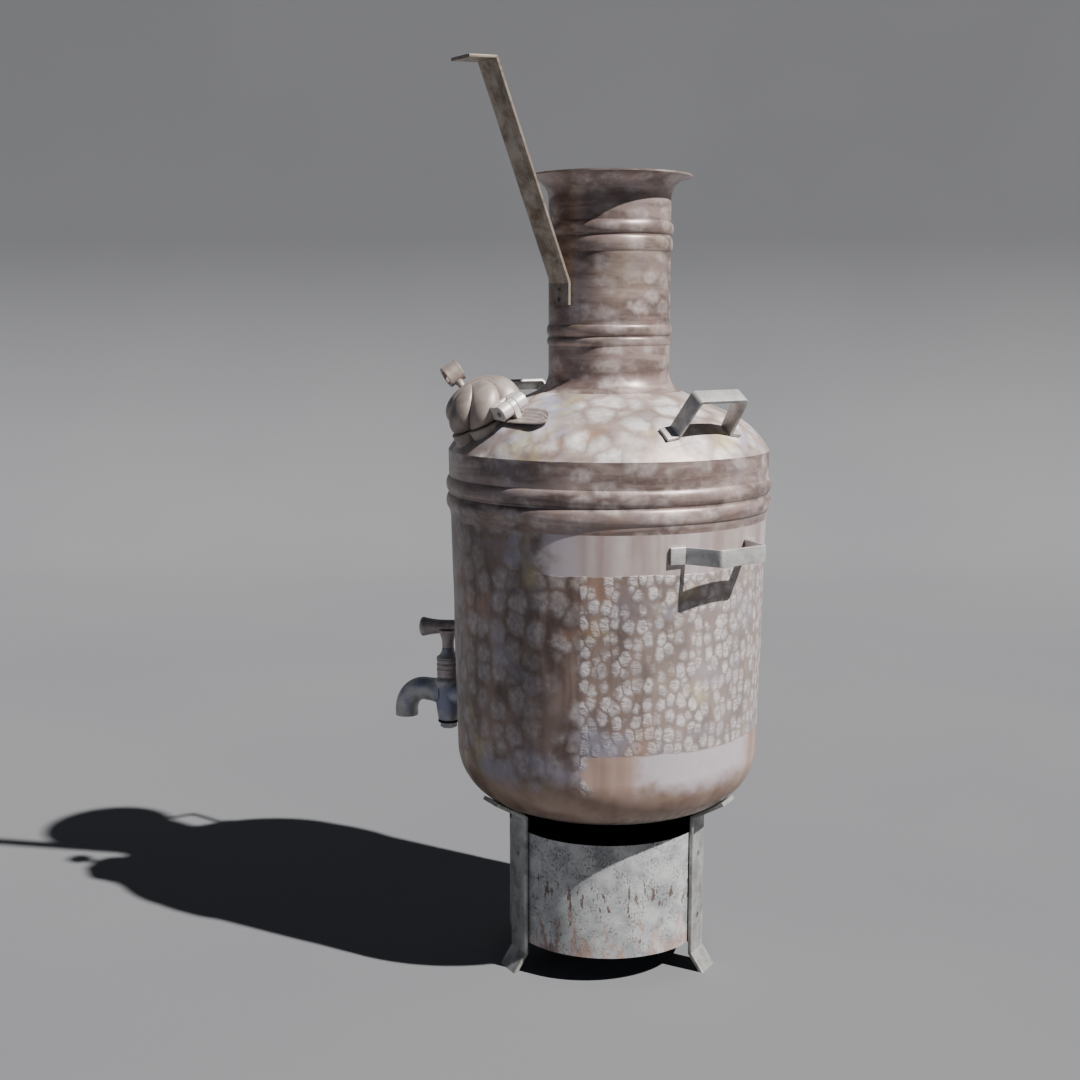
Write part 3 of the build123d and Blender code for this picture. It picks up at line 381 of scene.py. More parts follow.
# %% The copper finishes
hammered = old_copper(
    "hammered_copper_limed", 22.0, 1.0, ("#61514a", "#8f7a71"), ("#aca3a6", "#d6cfcd"),
    facet_stretch=(1.0, 0.90, 1.0), streak=(1.0, 1.0, 0.28), bump_mm=0.32, tint=1.5, groove=(-0.20, 0.22),
    patches=(0.26, 0.46), panel={"facets": small_facets, "bands": plain_bands},
)
spun = old_copper(
    "spun_copper_dull", 27.0, 0.66, ("#6d5c57", "#a38f89"), ("#b3a5a0", "#d8cfcc"),
    facet_stretch=(0.9, 0.9, 1.7), streak=(0.4, 0.4, 2.0), bump_mm=0.05, tint=0.45, rough=(0.38, 0.54),
    groove=(-0.15, 0.3),
)
dome_copper = old_copper(
    "hammered_copper_crusted", 29.0, 1.0, ("#8f7b72", "#b09d94"), ("#d2cccc", "#efecea"),
    bump_mm=0.45, tint=1.9, tints=("#bdbcd0", "#d0c391", "#a98265"), rough=(0.48, 0.68),
    groove=(-0.16, 0.30), patches=(0.28, 0.50), spot=(0.80, 0.30),
)
cast = old_copper(
    "cast_copper_pale", 16.0, 0.45, ("#8b7d76", "#a99d96"), ("#b5aca6", "#cac3bd"),
    bump_mm=0.10, tint=0.25, rough=(0.50, 0.64), groove=(0.0, 0.5),
)
# Paler copy of the cast copper for the hinge cheeks and tongue: painted sunlight on the knuckle's faces.
cast_painted_sunlit = old_copper(
    "cast_copper_painted_sunlit", 16.0, 0.6, ("#d0c9c5", "#e0dad7"), ("#e4dfdc", "#f0edeb"),
    bump_mm=0.08, tint=0.15, rough=(0.45, 0.6), groove=(0.0, 0.5),
)
print("copper finishes:", *(m.name for m in (hammered, spun, dome_copper, cast, cast_painted_sunlit)))

# %% [markdown]
# ### Galvanised bar and sheet
# Legs, straps and the arm are hot-dip galvanised steel: a grey zinc skin with faint crystal
# spangle, fine drawn lines and small dark pits. The fire ring is the same sheet after many
# fires: chalky pale zinc, black specks drawn out downwards and orange rust near its foot.


# %% Galvanised bar finish
def galvanised(name, light="#b4b5b2", dark="#83837f", stain=0.35):
    """Spangle cells + drawn lines + pits + brown stain."""
    material, tree, shader = new_finish(name)
    coords = node(tree, "ShaderNodeTexCoord")
    where, along = coords.outputs["Object"], coords.outputs["UV"]
    spangle = node(tree, "ShaderNodeTexVoronoi", {"Vector": where, "Scale": 1 / (7.0 * MM)}).outputs["Color"]
    spangle = node(tree, "ShaderNodeSeparateXYZ", {0: spangle}).outputs[0]
    drawn = grain(tree, stretched(tree, along, (0.06, 1.0, 1.0)), 1.6, 3.0, 0.6)
    cloud = grain(tree, where, 22.0, 5.0, 0.62, 0.3)
    colour = blend(tree, window(tree, cloud, 0.34, 0.66), dark, light)
    colour = blend(tree, window(tree, spangle, 0.0, 1.0, 0.0, 0.16), colour, "#cfd0cd")
    colour = blend(tree, window(tree, drawn, 0.52, 0.75, 0.0, 0.30), colour, "#d8d9d6")
    pits = window(tree, grain(tree, where, 2.2, 2.0, 0.5), 0.66, 0.72, 0.0, 0.55)
    colour = blend(tree, pits, colour, "#4b4946")
    brown = window(tree, grain(tree, where, 34.0, 6.0, 0.7, 0.5), 0.54, 0.74, 0.0, stain)
    colour = blend(tree, brown, colour, "#705a45")
    height = combine(tree, "SUBTRACT", times(tree, drawn, 0.5), pits)
    surface(tree, shader, colour, window(tree, cloud, 0.3, 0.7, 0.58, 0.40), 0.55, height, 0.12)
    return material


bar_zinc = galvanised("galvanised_steel_bar")
grip_zinc = galvanised("galvanised_steel_grip", "#d0cecc", "#9f9b99", 0.22)
arm_zinc = galvanised("galvanised_steel_arm", "#a09184", "#74634f", 0.95)


# %% Fire ring finish, outside and inside
def ring_outside():
    """Chalky zinc, specks stretched downwards, rust whose cover grows towards the foot."""
    material, tree, shader = new_finish("galvanised_sheet_burnt")
    coords = node(tree, "ShaderNodeTexCoord")
    uv = coords.outputs["UV"]
    up = node(tree, "ShaderNodeSeparateXYZ", {0: uv}).outputs[1]
    cloud = grain(tree, uv, 24.0, 5.0, 0.6, 0.4)
    colour = blend(tree, window(tree, cloud, 0.30, 0.68), "#939597", "#c4c5c4")
    fleck = grain(tree, stretched(tree, uv, (1.0, 0.65, 1.0)), 1.9, 5.0, 0.72)
    crowd = window(tree, grain(tree, uv, 20.0, 3.0, 0.6), 0.36, 0.62, 0.62, 0.52)
    specks = window(tree, combine(tree, "SUBTRACT", fleck, crowd), -0.03, 0.05, 0.0, 0.62)
    colour = blend(tree, specks, colour, "#4a4745")
    run = grain(tree, stretched(tree, uv, (1.0, 0.35, 1.0)), 15.0, 6.0, 0.70, 0.4)
    foot = window(tree, up, 0.105, 0.030, 0.0, 0.17)
    rust = window(tree, combine(tree, "ADD", run, foot), 0.62, 0.74)
    rust_colour = blend(tree, window(tree, fleck, 0.42, 0.58), "#7a4a36", "#b98a70")
    colour = blend(tree, times(tree, rust, 0.55), colour, rust_colour)
    dashes = grain(tree, stretched(tree, uv, (1.0, 0.30, 1.0)), 4.2, 3.0, 0.55)
    belt = times(tree, window(tree, up, 0.060, 0.080), window(tree, up, 0.112, 0.095),
                 window(tree, run, 0.40, 0.56, 0.0, 0.13))
    dark = window(tree, combine(tree, "ADD", dashes, belt), 0.66, 0.72, 0.0, 0.80)
    colour = blend(tree, dark, colour, "#5a3a2c")
    height = combine(tree, "SUBTRACT", times(tree, cloud, 0.6), specks)
    surface(tree, shader, colour, window(tree, rust, 0.0, 1.0, 0.55, 0.85), 0.30, height, 0.2)
    return material


def soot(name="soot_on_iron", light="#1c1a19", dark="#0b0a0a"):
    """Black carbon: almost no gloss, faint grey bloom."""
    material, tree, shader = new_finish(name)
    where = node(tree, "ShaderNodeTexCoord").outputs["Object"]
    bloom = grain(tree, where, 14.0, 5.0, 0.65)
    colour = blend(tree, window(tree, bloom, 0.4, 0.7), dark, light)
    surface(tree, shader, colour, 0.95, height=bloom, bump_mm=0.4)
    return material


ring_zinc = ring_outside()
ring_soot = soot()
print("steel finishes ready")

# %% [markdown]
# ### Bronze tap
# A sand-cast bronze tap goes brown where hands touch it; its blue-grey patches are a painted reflection of
# the cool sky.
# Casting leaves a fine orange-peel; the threads of the gland nut stay brown.


# %% Bronze finish
def bronze(name, low, high, tint_and_sky_colour, bloom, rough=0.5):
    """Cast skin + tinted patches, which on the blue-grey tap are a painted sky reflection, + darker pores.
    """
    material, tree, shader = new_finish(name)
    where = node(tree, "ShaderNodeTexCoord").outputs["Object"]
    cloud = grain(tree, where, 9.0, 5.0, 0.6, 0.5)
    peel = grain(tree, where, 1.4, 2.0, 0.5)
    colour = blend(tree, window(tree, cloud, 0.32, 0.68), low, high)
    # Tinted patches: on the tap the blue-grey is a painted sky reflection, on the handle and the fibre a
    # plain tint.
    tint = window(tree, grain(tree, where, 26.0, 3.0, 0.5, 0.4), 0.42, 0.64, 0.0, bloom)
    colour = blend(tree, tint, colour, tint_and_sky_colour)
    pores = window(tree, peel, 0.62, 0.74, 0.0, 0.5)
    colour = blend(tree, pores, colour, "#2a2420")
    height = combine(tree, "SUBTRACT", peel, pores)
    roughness = window(tree, cloud, 0.3, 0.7, rough - 0.08, rough + 0.12)
    surface(tree, shader, colour, roughness, 0.45, height, 0.08)
    return material


# The tap's blue-grey patches (#6f79a2) are a painted reflection of the cool sky.
tap_bronze = bronze("cast_bronze_painted_sky_sheen", "#aaa9a6", "#c6c5c2", "#6f79a2", 0.62, 0.5)
brown_bronze = bronze("cast_bronze_brown", "#a4989a", "#c9bfbc", "#ab9b8f", 0.5, 0.55)
fibre = bronze("vulcanised_fibre_red", "#5c3326", "#77483a", "#4a3029", 0.4, 0.8)
print("bronze finishes ready")

# %% [markdown]
# ## Round sheets
# The boiler is a set of round sheets, so each is a profile carried round the upright axis:
# x = r sin a, y = -r cos a. The profile runs up the outside and back down the inside, so the
# sheet has its real thickness. A lathe modifier could do this too, but with arrays the
# hammering can push every point in or out before the mesh exists.


# %% Revolve a closed profile
def azimuths(count):
    """Even angles round the axis, in radians, starting at the back."""
    return np.linspace(-pi, pi, count, endpoint=False)


def revolve(profile, count=360, push=None, map_radius=None, finish=None):
    """(r, z) profile in mm round the axis; push(angle, r, z) moves points outwards."""
    a = azimuths(count)[:, None]
    r, z = profile[:, 0][None, :], profile[:, 1][None, :]
    r = r + np.zeros_like(a)
    z = z + np.zeros_like(a)
    if push is not None:
        r = r + push(a + 0 * r, r, z)
    grid = np.stack([r * np.sin(a), -r * np.cos(a), z], -1)
    round_radius = map_radius or profile[:, 0].max()
    angle = np.append(azimuths(count), pi)
    height = np.append(profile[:, 1], profile[0, 1])
    uv = np.stack(np.meshgrid(angle * round_radius, height, indexing="ij"), -1) * MM
    return patch(grid, True, True, uv, finish)


def arc_points(centre, radius, start, stop, count):
    """Points on a circle from angle start to stop, in degrees."""
    t = np.radians(np.linspace(start, stop, count))
    return np.stack([centre[0] + radius * np.cos(t), centre[1] + radius * np.sin(t)], 1)


sheet_t = 1.6
print("copper sheet", sheet_t, "mm")

# %% [markdown]
# ## The hammered boiler
# A planishing hammer leaves shallow round facets, and years of lifting leave wide soft dents.
# The dents are sums of Gaussian bells, (distance / width) squared in the exponent, at seeded
# random places, so they are the same in every run. Sizes come from the CAD boxes.

# %% Sizes of the boiler from its CAD nodes, in mm
wall_low, wall_high = (np.array(v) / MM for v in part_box("boiler_wall"))
pan_low, pan_high = (np.array(v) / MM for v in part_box("boiler_bottom"))
_, band_high = (np.array(v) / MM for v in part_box("upper_band"))
_, dome_high = (np.array(v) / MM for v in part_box("shoulder_dome"))
_, neck_high = (np.array(v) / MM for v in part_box("neck_tube"))
seam_z, wall_top_z = wall_low[2], wall_high[2]
pan_z = pan_low[2]
crease_z = band_high[2]
low_r = round(pan_high[0], 1)
high_r = round(wall_high[0], 1)
shoulder_r = round(dome_high[0], 1)
corner_r = seam_z - pan_z
print("radii:", low_r, high_r, shoulder_r, "seam", seam_z, "crease", round(crease_z, 1))

map_r, wall_handle_z = 155.0, 438.0  # where the wall's map has its true width, handle height
rng = np.random.default_rng(7)


def dents(a, z, r, count, width, depth, z_range):
    """Sum of Gaussian bells at seeded places on a cylinder of radius r."""
    total = np.zeros(np.broadcast(a, z).shape)
    for a0, z0, w, d in zip(
        rng.uniform(-pi, pi, count),
        rng.uniform(*z_range, count),
        rng.uniform(0.6, 1.4, count) * width,
        rng.uniform(-1, 1, count) * depth,
    ):
        across = (np.mod(a - a0 + pi, 2 * pi) - pi) * r
        total += d * np.exp(-(across**2 + (z - z0) ** 2) / w**2)
    return total


def wall_push(a, r, z):
    """Soft dents fading to nothing at both seams, and nearly so behind the wall handles."""
    fade, calm = 18, 22
    share = np.clip((z - seam_z) / fade, 0, 1) * np.clip((wall_top_z - z) / fade, 0, 1)
    keep = 1 - 0.9 * np.exp(-(((z - wall_handle_z) / calm) ** 2))
    return share * keep * np.clip(dents(a, z, high_r, 260, 15, 0.55, (seam_z, wall_top_z)), -1.1, 0.35)


# %% Boiler wall, pan, band
heights = np.linspace(seam_z, wall_top_z, 90)
wall_line = np.stack([low_r + (high_r - low_r) * (heights - seam_z) / (wall_top_z - seam_z), heights], 1)
wall_profile = np.vstack([wall_line, (wall_line - [sheet_t, 0])[::6][::-1]])
make(
    "hammered_wall", [revolve(wall_profile, 560, wall_push, map_r)], [hammered], "boiler",
    ["boiler_wall"],
)

centre = (low_r - corner_r, seam_z)
flat = np.stack([np.linspace(0.01, centre[0], 24)[:-1], np.full(23, pan_z)], 1)
pan_line = np.vstack([flat, arc_points(centre, corner_r, -90, 0, 40)])
inner_line = np.vstack([
    np.stack([np.linspace(0.01, centre[0], 12)[:-1], np.full(11, pan_z + sheet_t)], 1),
    arc_points(centre, corner_r - sheet_t, -90, 0, 24),
])
make(
    "boiler_pan", [revolve(np.vstack([pan_line, inner_line[::-1]]), 360, None, map_r)], [hammered], "boiler",
    ["boiler_bottom"],
)


# %% [markdown]
# ## Rolled beads
# The two beads on the upper band and the two pairs on the neck were rolled into the sheet
# between wheels. Each is a raised half wave, rise * cos(pi (z - middle) / height) ** 0.55,
# which is much fuller than a plain cosine and meets the sheet in a tight groove, where the light
# goes dark.


# %% Bead helper, upper band
def beaded(z, r, beads):
    """Radius at height z of an upright sheet of radius r with rolled beads."""
    out = np.array(r + 0 * z, float)
    for middle, height, rise in beads:
        t = np.clip((z - middle) / height, -0.5, 0.5)
        out = np.maximum(out, r + rise * np.maximum(np.cos(pi * t), 0) ** 0.55)
    return out


band_r, upright_from, upright_to = 159.5, 466.5, 498.5
band_beads = ((474.0, 15.0, 2.95), (491.0, 15.0, 2.95))  # middle, height, rise
z = np.linspace(wall_top_z, crease_z, 120)
lean = np.interp(z, [wall_top_z, upright_from, upright_to, crease_z], [high_r, band_r, band_r, shoulder_r])
lean -= band_r
band_line = np.stack([beaded(z, band_r, band_beads) + lean, z], 1)
band_profile = np.vstack([band_line, (band_line - [sheet_t, 0])[::3][::-1]])
make(
    "beaded_band", [revolve(band_profile, 420, None, band_r)], [spun], "boiler",
    ["upper_band"],
)

# %% [markdown]
# ## Dome and neck
# The shoulder is a shallow cone that rounds over to a sharp crease at the band, raised by
# hand, so its hammer marks are wide. The neck grows out of it in a hollow curve, climbs
# through its beads and flares like a trumpet to a thin lip, where the head used to sit.

# %% Dome shape
slope_top, slope_edge, round_r = radians(23.8), radians(60.0), 86.5
round_x = shoulder_r - round_r * (sin(slope_edge) - sin(slope_top))
round_z = crease_z + round_r * (cos(slope_top) - cos(slope_edge))
neck_r, fillet = 60.0, 20.0
corner_z = round_z + (round_x - neck_r) * tan(slope_top)
fillet_run = fillet * tan((pi / 2 - slope_top) / 2)
fillet_top = corner_z + fillet_run
foot_r = neck_r + fillet_run * cos(slope_top)
print("dome: cone from radius", round(foot_r, 1), "to", round(round_x, 1), "then round to", shoulder_r)


def dome_slope(r):
    """Slope below level, in radians: constant on the cone, its sine grows evenly on the round."""
    past = np.maximum(np.asarray(r, float) - round_x, 0)
    return np.arcsin(np.minimum(sin(slope_top) + past / round_r, 1))


def dome_height(r):
    """Outside height of the dome at radius r, in mm."""
    cone = round_z + (round_x - np.minimum(r, round_x)) * tan(slope_top)
    return cone - round_r * (cos(slope_top) - np.cos(dome_slope(r)))


def dome_push(a, r, z):
    """Wide hammer facets, kept shallow near the pieces fixed to the dome."""
    share = np.clip((z - crease_z) / 5, 0, 1) * np.clip((dome_height(foot_r) - z) / 5, 0, 1)
    return -share * np.abs(dents(a, z, 130, 90, 13, 0.5, (crease_z, 580)))


radii = np.linspace(foot_r, shoulder_r, 70)
dome_line = np.stack([radii, dome_height(radii)], 1)[::-1]
dome_under = dome_line[::3] - [0.3, sheet_t * 1.15]
dome_under[:, 1] = np.maximum(dome_under[:, 1], crease_z)
make(
    "raised_dome", [revolve(np.vstack([dome_line, dome_under[::-1]]), 480, dome_push, 140)],
    [dome_copper], "boiler", ["shoulder_dome"],
)

# %% Neck with beads and flare
rim_r, rim_z, flare_h = neck_high[0], 789.0, 21.0
flare_out = rim_r - neck_r
flare_arc = (flare_out**2 + flare_h**2) / (2 * flare_out)
flare_turn = degrees(atan2(flare_h, flare_arc - flare_out))
neck_beads = ((631.0, 8.0, 1.5), (641.7, 10.5, 1.7), (724.0, 14.5, 2.1), (739.5, 12.5, 2.7))


def neck_profile(inset):
    """Hollow curve, beaded side and flare, set in by inset."""
    slope = degrees(slope_top)
    low = arc_points((neck_r + fillet, fillet_top), fillet + inset, 180 + 90 - slope, 180, 26)
    z = np.linspace(fillet_top, rim_z - flare_h, 330)[1:-1]
    side = np.stack([beaded(z, neck_r, neck_beads) - inset, z], 1)
    high = arc_points((neck_r + flare_arc, rim_z - flare_h), flare_arc + inset, 180, 180 - flare_turn, 34)
    return np.vstack([low, side, high])


outer, inner = neck_profile(0.0), neck_profile(sheet_t)
outer[:, 1] = np.minimum(outer[:, 1], neck_high[2])
inner[:, 1] = np.minimum(inner[:, 1], neck_high[2])
make(
    "beaded_neck", [revolve(np.vstack([outer, inner[::-3][:-1]]), 300, None, neck_r)], [spun],
    "boiler", ["neck_tube"],
)

# %% [markdown]
# ## Bent bars
# Legs, straps and the arm are flat bar, bent cold. A bar is a rounded rectangle carried along
# a line with small bends: at each point the section turns with the line. Mitred boxes would
# be quicker, but a bent bar shows its soft outer corner in the light.


# %% A flat bar along a bent line
def bent(points, radius, steps=6):
    """Line through 2-D points whose corners are arcs of the given radius."""
    points = np.asarray(points, float)
    out = [points[0]]
    for before, here, after in zip(points[:-2], points[1:-1], points[2:]):
        a = (before - here) / np.hypot(*(before - here))
        b = (after - here) / np.hypot(*(after - here))
        half = np.arccos(np.clip(a @ b, -1, 1)) / 2
        run = radius / tan(half)
        middle = here + (a + b) / np.hypot(*(a + b)) * radius / sin(half)
        start, end = here + a * run - middle, here + b * run - middle
        t = np.linspace(0, 1, steps)[:, None]
        spread = np.arccos(np.clip(start @ end / radius**2, -1, 1))
        out.extend(middle + (np.sin((1 - t) * spread) * start + np.sin(t * spread) * end) / np.sin(spread))
    out.append(points[-1])
    return np.array(out)


def rounded_rectangle(width, thickness, corner, steps=4):
    """Section of a bar: x across its width, y from 0 on its inner face to its thickness."""
    corners = (
        (width / 2 - corner, corner, -90), (width / 2 - corner, thickness - corner, 0),
        (corner - width / 2, thickness - corner, 90), (corner - width / 2, corner, 180),
    )
    return np.vstack([arc_points((x, y), corner, s, s + 90, steps) for x, y, s in corners])


def densify(line, step=6.0):
    """Extra points so that no run is longer than step."""
    lengths = np.hypot(*np.diff(line, axis=0).T)
    spots = [np.linspace(0, 1, max(2, int(np.ceil(n / step)) + 1))[:-1, None] for n in lengths]
    parts = [a + (b - a) * t for a, b, t in zip(line[:-1], line[1:], spots)]
    return np.vstack([*parts, line[-1:]])


def bar(line, width, thickness, origin, x_dir, y_dir, across, corner=0.7, side=1.0, level=None):
    """Section carried along a 2-D line in the plane of x_dir and y_dir; across is the width's
    direction and side says on which hand of the line the thickness grows."""
    line = densify(np.asarray(line, float))
    d = np.gradient(line, axis=0)
    d /= np.hypot(d[:, 0], d[:, 1])[:, None]
    normal = side * np.stack([d[:, 1], -d[:, 0]], 1)
    cosine = np.ones(len(line))
    first, last = np.diff(line, axis=0)[:-1], np.diff(line, axis=0)[1:]
    turn = np.einsum("ij,ij->i", first, last) / (np.hypot(*first.T) * np.hypot(*last.T))
    cosine[1:-1] = np.sqrt((1 + np.clip(turn, -1, 1)) / 2)
    section = rounded_rectangle(width, thickness, corner)
    flat = line[:, None, :] + normal[:, None, :] * (section[None, :, 1:2] / cosine[:, None, None])
    x_dir, y_dir, across = (np.asarray(v, float) for v in (x_dir, y_dir, across))
    grid = np.asarray(origin, float) + flat[..., :1] * x_dir + flat[..., 1:] * y_dir
    grid = grid + section[None, :, :1] * across
    if level is not None:
        run = grid[1] - grid[0]
        grid[0] += run * ((level - grid[0, :, 2]) / run[:, 2])[:, None]
    length = np.concatenate([[0], np.cumsum(np.hypot(*np.diff(line, axis=0).T))])
    length = np.append(length, length[-1] + 1)
    edge = np.concatenate([[0], np.cumsum(np.hypot(*(np.roll(section, -1, 0) - section).T))])
    uv = np.stack(np.meshgrid(length, edge, indexing="ij"), -1) * MM
    return patch(grid, False, True, uv)


def spoke(azimuth):
    """Level unit vector at an azimuth in degrees, counted from the front towards +X."""
    return np.array([sin(radians(azimuth)), -cos(radians(azimuth)), 0.0])


UP = np.array([0.0, 0.0, 1.0])
print("bar helper ready")

# %% Legs
leg_azimuths = {"left": -58.0, "right": 64.0, "rear": 182.0}
drum_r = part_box("fire_ring")[1][0] / MM
bar_w, bar_t, tab_slope, tab_r, rest_gap = 29.0, 4.0, radians(30), 134.0, 0.3
foot_out, foot_bend, below = 12, 17, 2.0
touch = np.array([low_r - corner_r, seam_z])
touch = touch + (corner_r + rest_gap) * np.array([sin(tab_slope), -cos(tab_slope)])
root_z = touch[1] - (touch[0] - drum_r) * tan(tab_slope)
tab_end = (tab_r, touch[1] + (tab_r - touch[0]) * tan(tab_slope))
for name, azimuth in leg_azimuths.items():
    out = spoke(azimuth)
    line = bent([(drum_r + 14, -2.83), (drum_r, foot_bend), (drum_r, root_z), tab_end], 3.0)
    line[0] = (drum_r + foot_out * (foot_bend + below) / foot_bend, -below)
    leg = bar(line, bar_w, bar_t, (0, 0, 0), out, UP, np.cross(out, UP), 0.8, 1.0, level=0.0)
    make(f"flat_bar_leg_{name}", [leg], [bar_zinc], "stand", [f"stand_leg_{name}"])

# %% Arm on the neck
arm_out = spoke(-50.0)
arm_foot, arm_bend, arm_top = 665.8, 687.0, np.array([145.0, 888.2])
droop, tip_run = radians(3.7), 31.5
tip = arm_top + tip_run * np.array([cos(droop), -sin(droop)])
line = bent([(neck_r, arm_foot), (neck_r, arm_bend), arm_top, tip], 1.5)
arm = bar(line, bar_w, 3.0, (0, 0, 0), arm_out, UP, np.cross(arm_out, UP), 0.6)
make("neck_bracket_arm", [arm], [arm_zinc], "boiler", ["neck_arm"])


# %% [markdown]
# ## Strap handles
# Two pairs of strap handles: one pair stands on the dome, square to its slope, the other lies
# level round the wall. Each foot lies flat on the sheet, so its line starts on the sheet.


# %% Place on the dome: origin, hoop direction, up-slope direction, normal
def dome_frame(azimuth, r, turn=0.0):
    """Local axes on the dome: x along the hoop, y up the slope, z out; then all three are turned
    about the upright axis by turn degrees, as the hinge's frame is in the CAD."""
    out, tilt = spoke(azimuth), float(dome_slope(r))
    normal = out * sin(tilt) + UP * cos(tilt)
    hoop = np.cross(UP, out)
    rise = np.cross(normal, hoop)
    t = radians(turn)
    spin = np.array([[cos(t), -sin(t), 0.0], [sin(t), cos(t), 0.0], [0.0, 0.0, 1.0]])
    return out * r + UP * float(dome_height(r)), spin @ hoop, spin @ rise, spin @ normal


# %% Handles on the dome and on the wall
strap_w, strap_t, grip_half = 16.0, 3.2, 30.0


def strap_line(foot, half_foot, tilt, level, top):
    """Bent line of a strap: a foot on either side, its middle at foot and level, and the grip."""
    half = [(foot + half_foot, level - tilt * half_foot), (foot - half_foot, level + tilt * half_foot),
            (grip_half - strap_t, top - strap_t)]
    return bent([(-a, b) for a, b in half] + half[::-1], 1.5)


def strap_handle(name, node_name, line, origin, x_dir, out, across):
    """Strap along its line, which lies in the plane of x_dir and out."""
    strap = bar(line, strap_w, strap_t, origin, x_dir, out, across, 0.5, side=-1.0)
    make(name, [strap], [grip_zinc], "boiler", [node_name])


handle_r, foot, half_foot, rise = 137.5, 38.0, 7, 42.0
hoop_r = handle_r / sin(float(dome_slope(handle_r)))
reach = sqrt(hoop_r**2 - foot**2)
line = strap_line(foot, half_foot, foot / reach, reach - hoop_r, rise)
for side, azimuth in {"front": 39.0, "rear": -143.0}.items():
    origin, x, y, normal = dome_frame(azimuth, handle_r)
    strap_handle(f"dome_strap_handle_{side}", f"shoulder_handle_{side}", line, origin, x, normal, y)

foot_z, foot, half_foot, rise = 446.0, 46.0, 8, 33.0
wall_r = low_r + (high_r - low_r) * (foot_z - seam_z) / (wall_top_z - seam_z)
reach = sqrt(wall_r**2 - foot**2)
line = strap_line(foot, half_foot, foot / reach, reach, wall_r + rise)
for side, azimuth in {"front": 41.0, "rear": -139.0}.items():
    out = spoke(azimuth)
    strap_handle(f"wall_strap_handle_{side}", f"side_handle_{side}", line, UP * wall_handle_z,
                 np.cross(out, UP), out, UP)

# %% [markdown]
# ## Fire ring
# A drum of thin sheet, open at both ends. Heat has buckled it slightly, so its radius wanders by
# a fraction of a millimetre, most where the leg bars pull it in. Outside it is pale, inside it is
# soot: one profile carried round gives both faces, each with its own finish.

# %% Ring
ring_low, ring_high = (np.array(v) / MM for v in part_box("fire_ring"))
ring_t, rows = 1.5, 40
z = np.linspace(ring_low[2], ring_high[2], rows)
outer = np.stack([np.full(rows, drum_r), z], 1)
inner = np.stack([np.full(rows, drum_r - ring_t), z], 1)[::-1]
ring_profile = np.vstack([outer, inner])
ring_finish = [0] * (rows - 1) + [1] * (rows + 1)


def ring_push(a, r, z):
    """Buckles: waves round the drum that grow towards its free bottom edge and by the legs."""
    free = np.clip((ring_high[2] - z) / 110, 0, 1)
    by_legs = np.abs(np.cos(1.5 * (a - 1.1))) ** 0.5
    return -0.22 * free * (1 + np.sin(5 * a + 0.6) * np.cos(z / 40)) * by_legs


make(
    "fire_drum", [revolve(ring_profile, 300, ring_push, drum_r, ring_finish)], [ring_zinc, ring_soot],
    "stand", ["fire_ring"],
)

# %% [markdown]
# ## Drain tap
# The tap is a bronze casting: a barrel, a tail into the boiler and a spout turned down. The
# barrel is a profile round its own upright axis; the spout is a ring carried along a line
# with a quarter bend, and it swells where it leaves the barrel, as the moulder's fillet does.


# %% Round pieces on any axis, and tubes
def turned(profile, origin, axis, count=72, wave=None):
    """(r, h) outline turned about an axis through origin; wave(angle, h) scales the radius."""
    axis = np.asarray(axis, float) / np.linalg.norm(axis)
    side = np.cross(axis, UP if abs(axis[2]) < 0.9 else np.array([1.0, 0, 0]))
    side /= np.linalg.norm(side)
    other = np.cross(axis, side)
    a = np.linspace(0, 2 * pi, count, endpoint=False)[:, None]
    r, h = profile[:, 0][None, :], profile[:, 1][None, :]
    r = r * (1 + (wave(a, h) if wave else 0 * a))
    h = h + 0 * a
    grid = np.asarray(origin, float) + (r * np.cos(a))[..., None] * side
    grid = grid + (r * np.sin(a))[..., None] * other + h[..., None] * axis
    angle = np.linspace(0, 2 * pi, count + 1) * profile[:, 0].max()
    height = np.append(profile[:, 1], profile[0, 1])
    uv = np.stack(np.meshgrid(angle, height, indexing="ij"), -1) * MM
    return patch(grid, True, True, uv)


def soften(outline, radius, steps=5):
    """Closed outline whose corners are rounded by at most radius."""
    outline = np.asarray(outline, float)
    out = []
    for before, here, after in zip(np.roll(outline, 1, 0), outline, np.roll(outline, -1, 0)):
        a, b = before - here, after - here
        la, lb = np.hypot(*a), np.hypot(*b)
        run = min(radius, 0.45 * la, 0.45 * lb)
        t = np.linspace(0, 1, steps)[:, None]
        start, end = here + a / la * run, here + b / lb * run
        out.append((1 - t) ** 2 * start + 2 * t * (1 - t) * here + t**2 * end)
    return np.vstack(out)


def tube(path, outer, inner, count=48):
    """Rings of radius outer and inner square to a 3-D path, joined at both ends."""
    path = np.asarray(path, float)
    d = np.gradient(path, axis=0)
    d /= np.linalg.norm(d, axis=1)[:, None]
    level = np.cross(d, UP)
    flat = np.linalg.norm(level, axis=1) > 1e-6
    level[flat] /= np.linalg.norm(level[flat], axis=1)[:, None]
    level[~flat] = level[flat][-1]
    other = np.cross(level, d)
    a = np.linspace(0, 2 * pi, count, endpoint=False)[:, None, None]

    def rings(radius):
        return path + radius[:, None] * (np.cos(a) * level + np.sin(a) * other)

    grid = np.concatenate([rings(outer), rings(inner)[:, ::-1]], 1)
    return patch(grid, True, True)


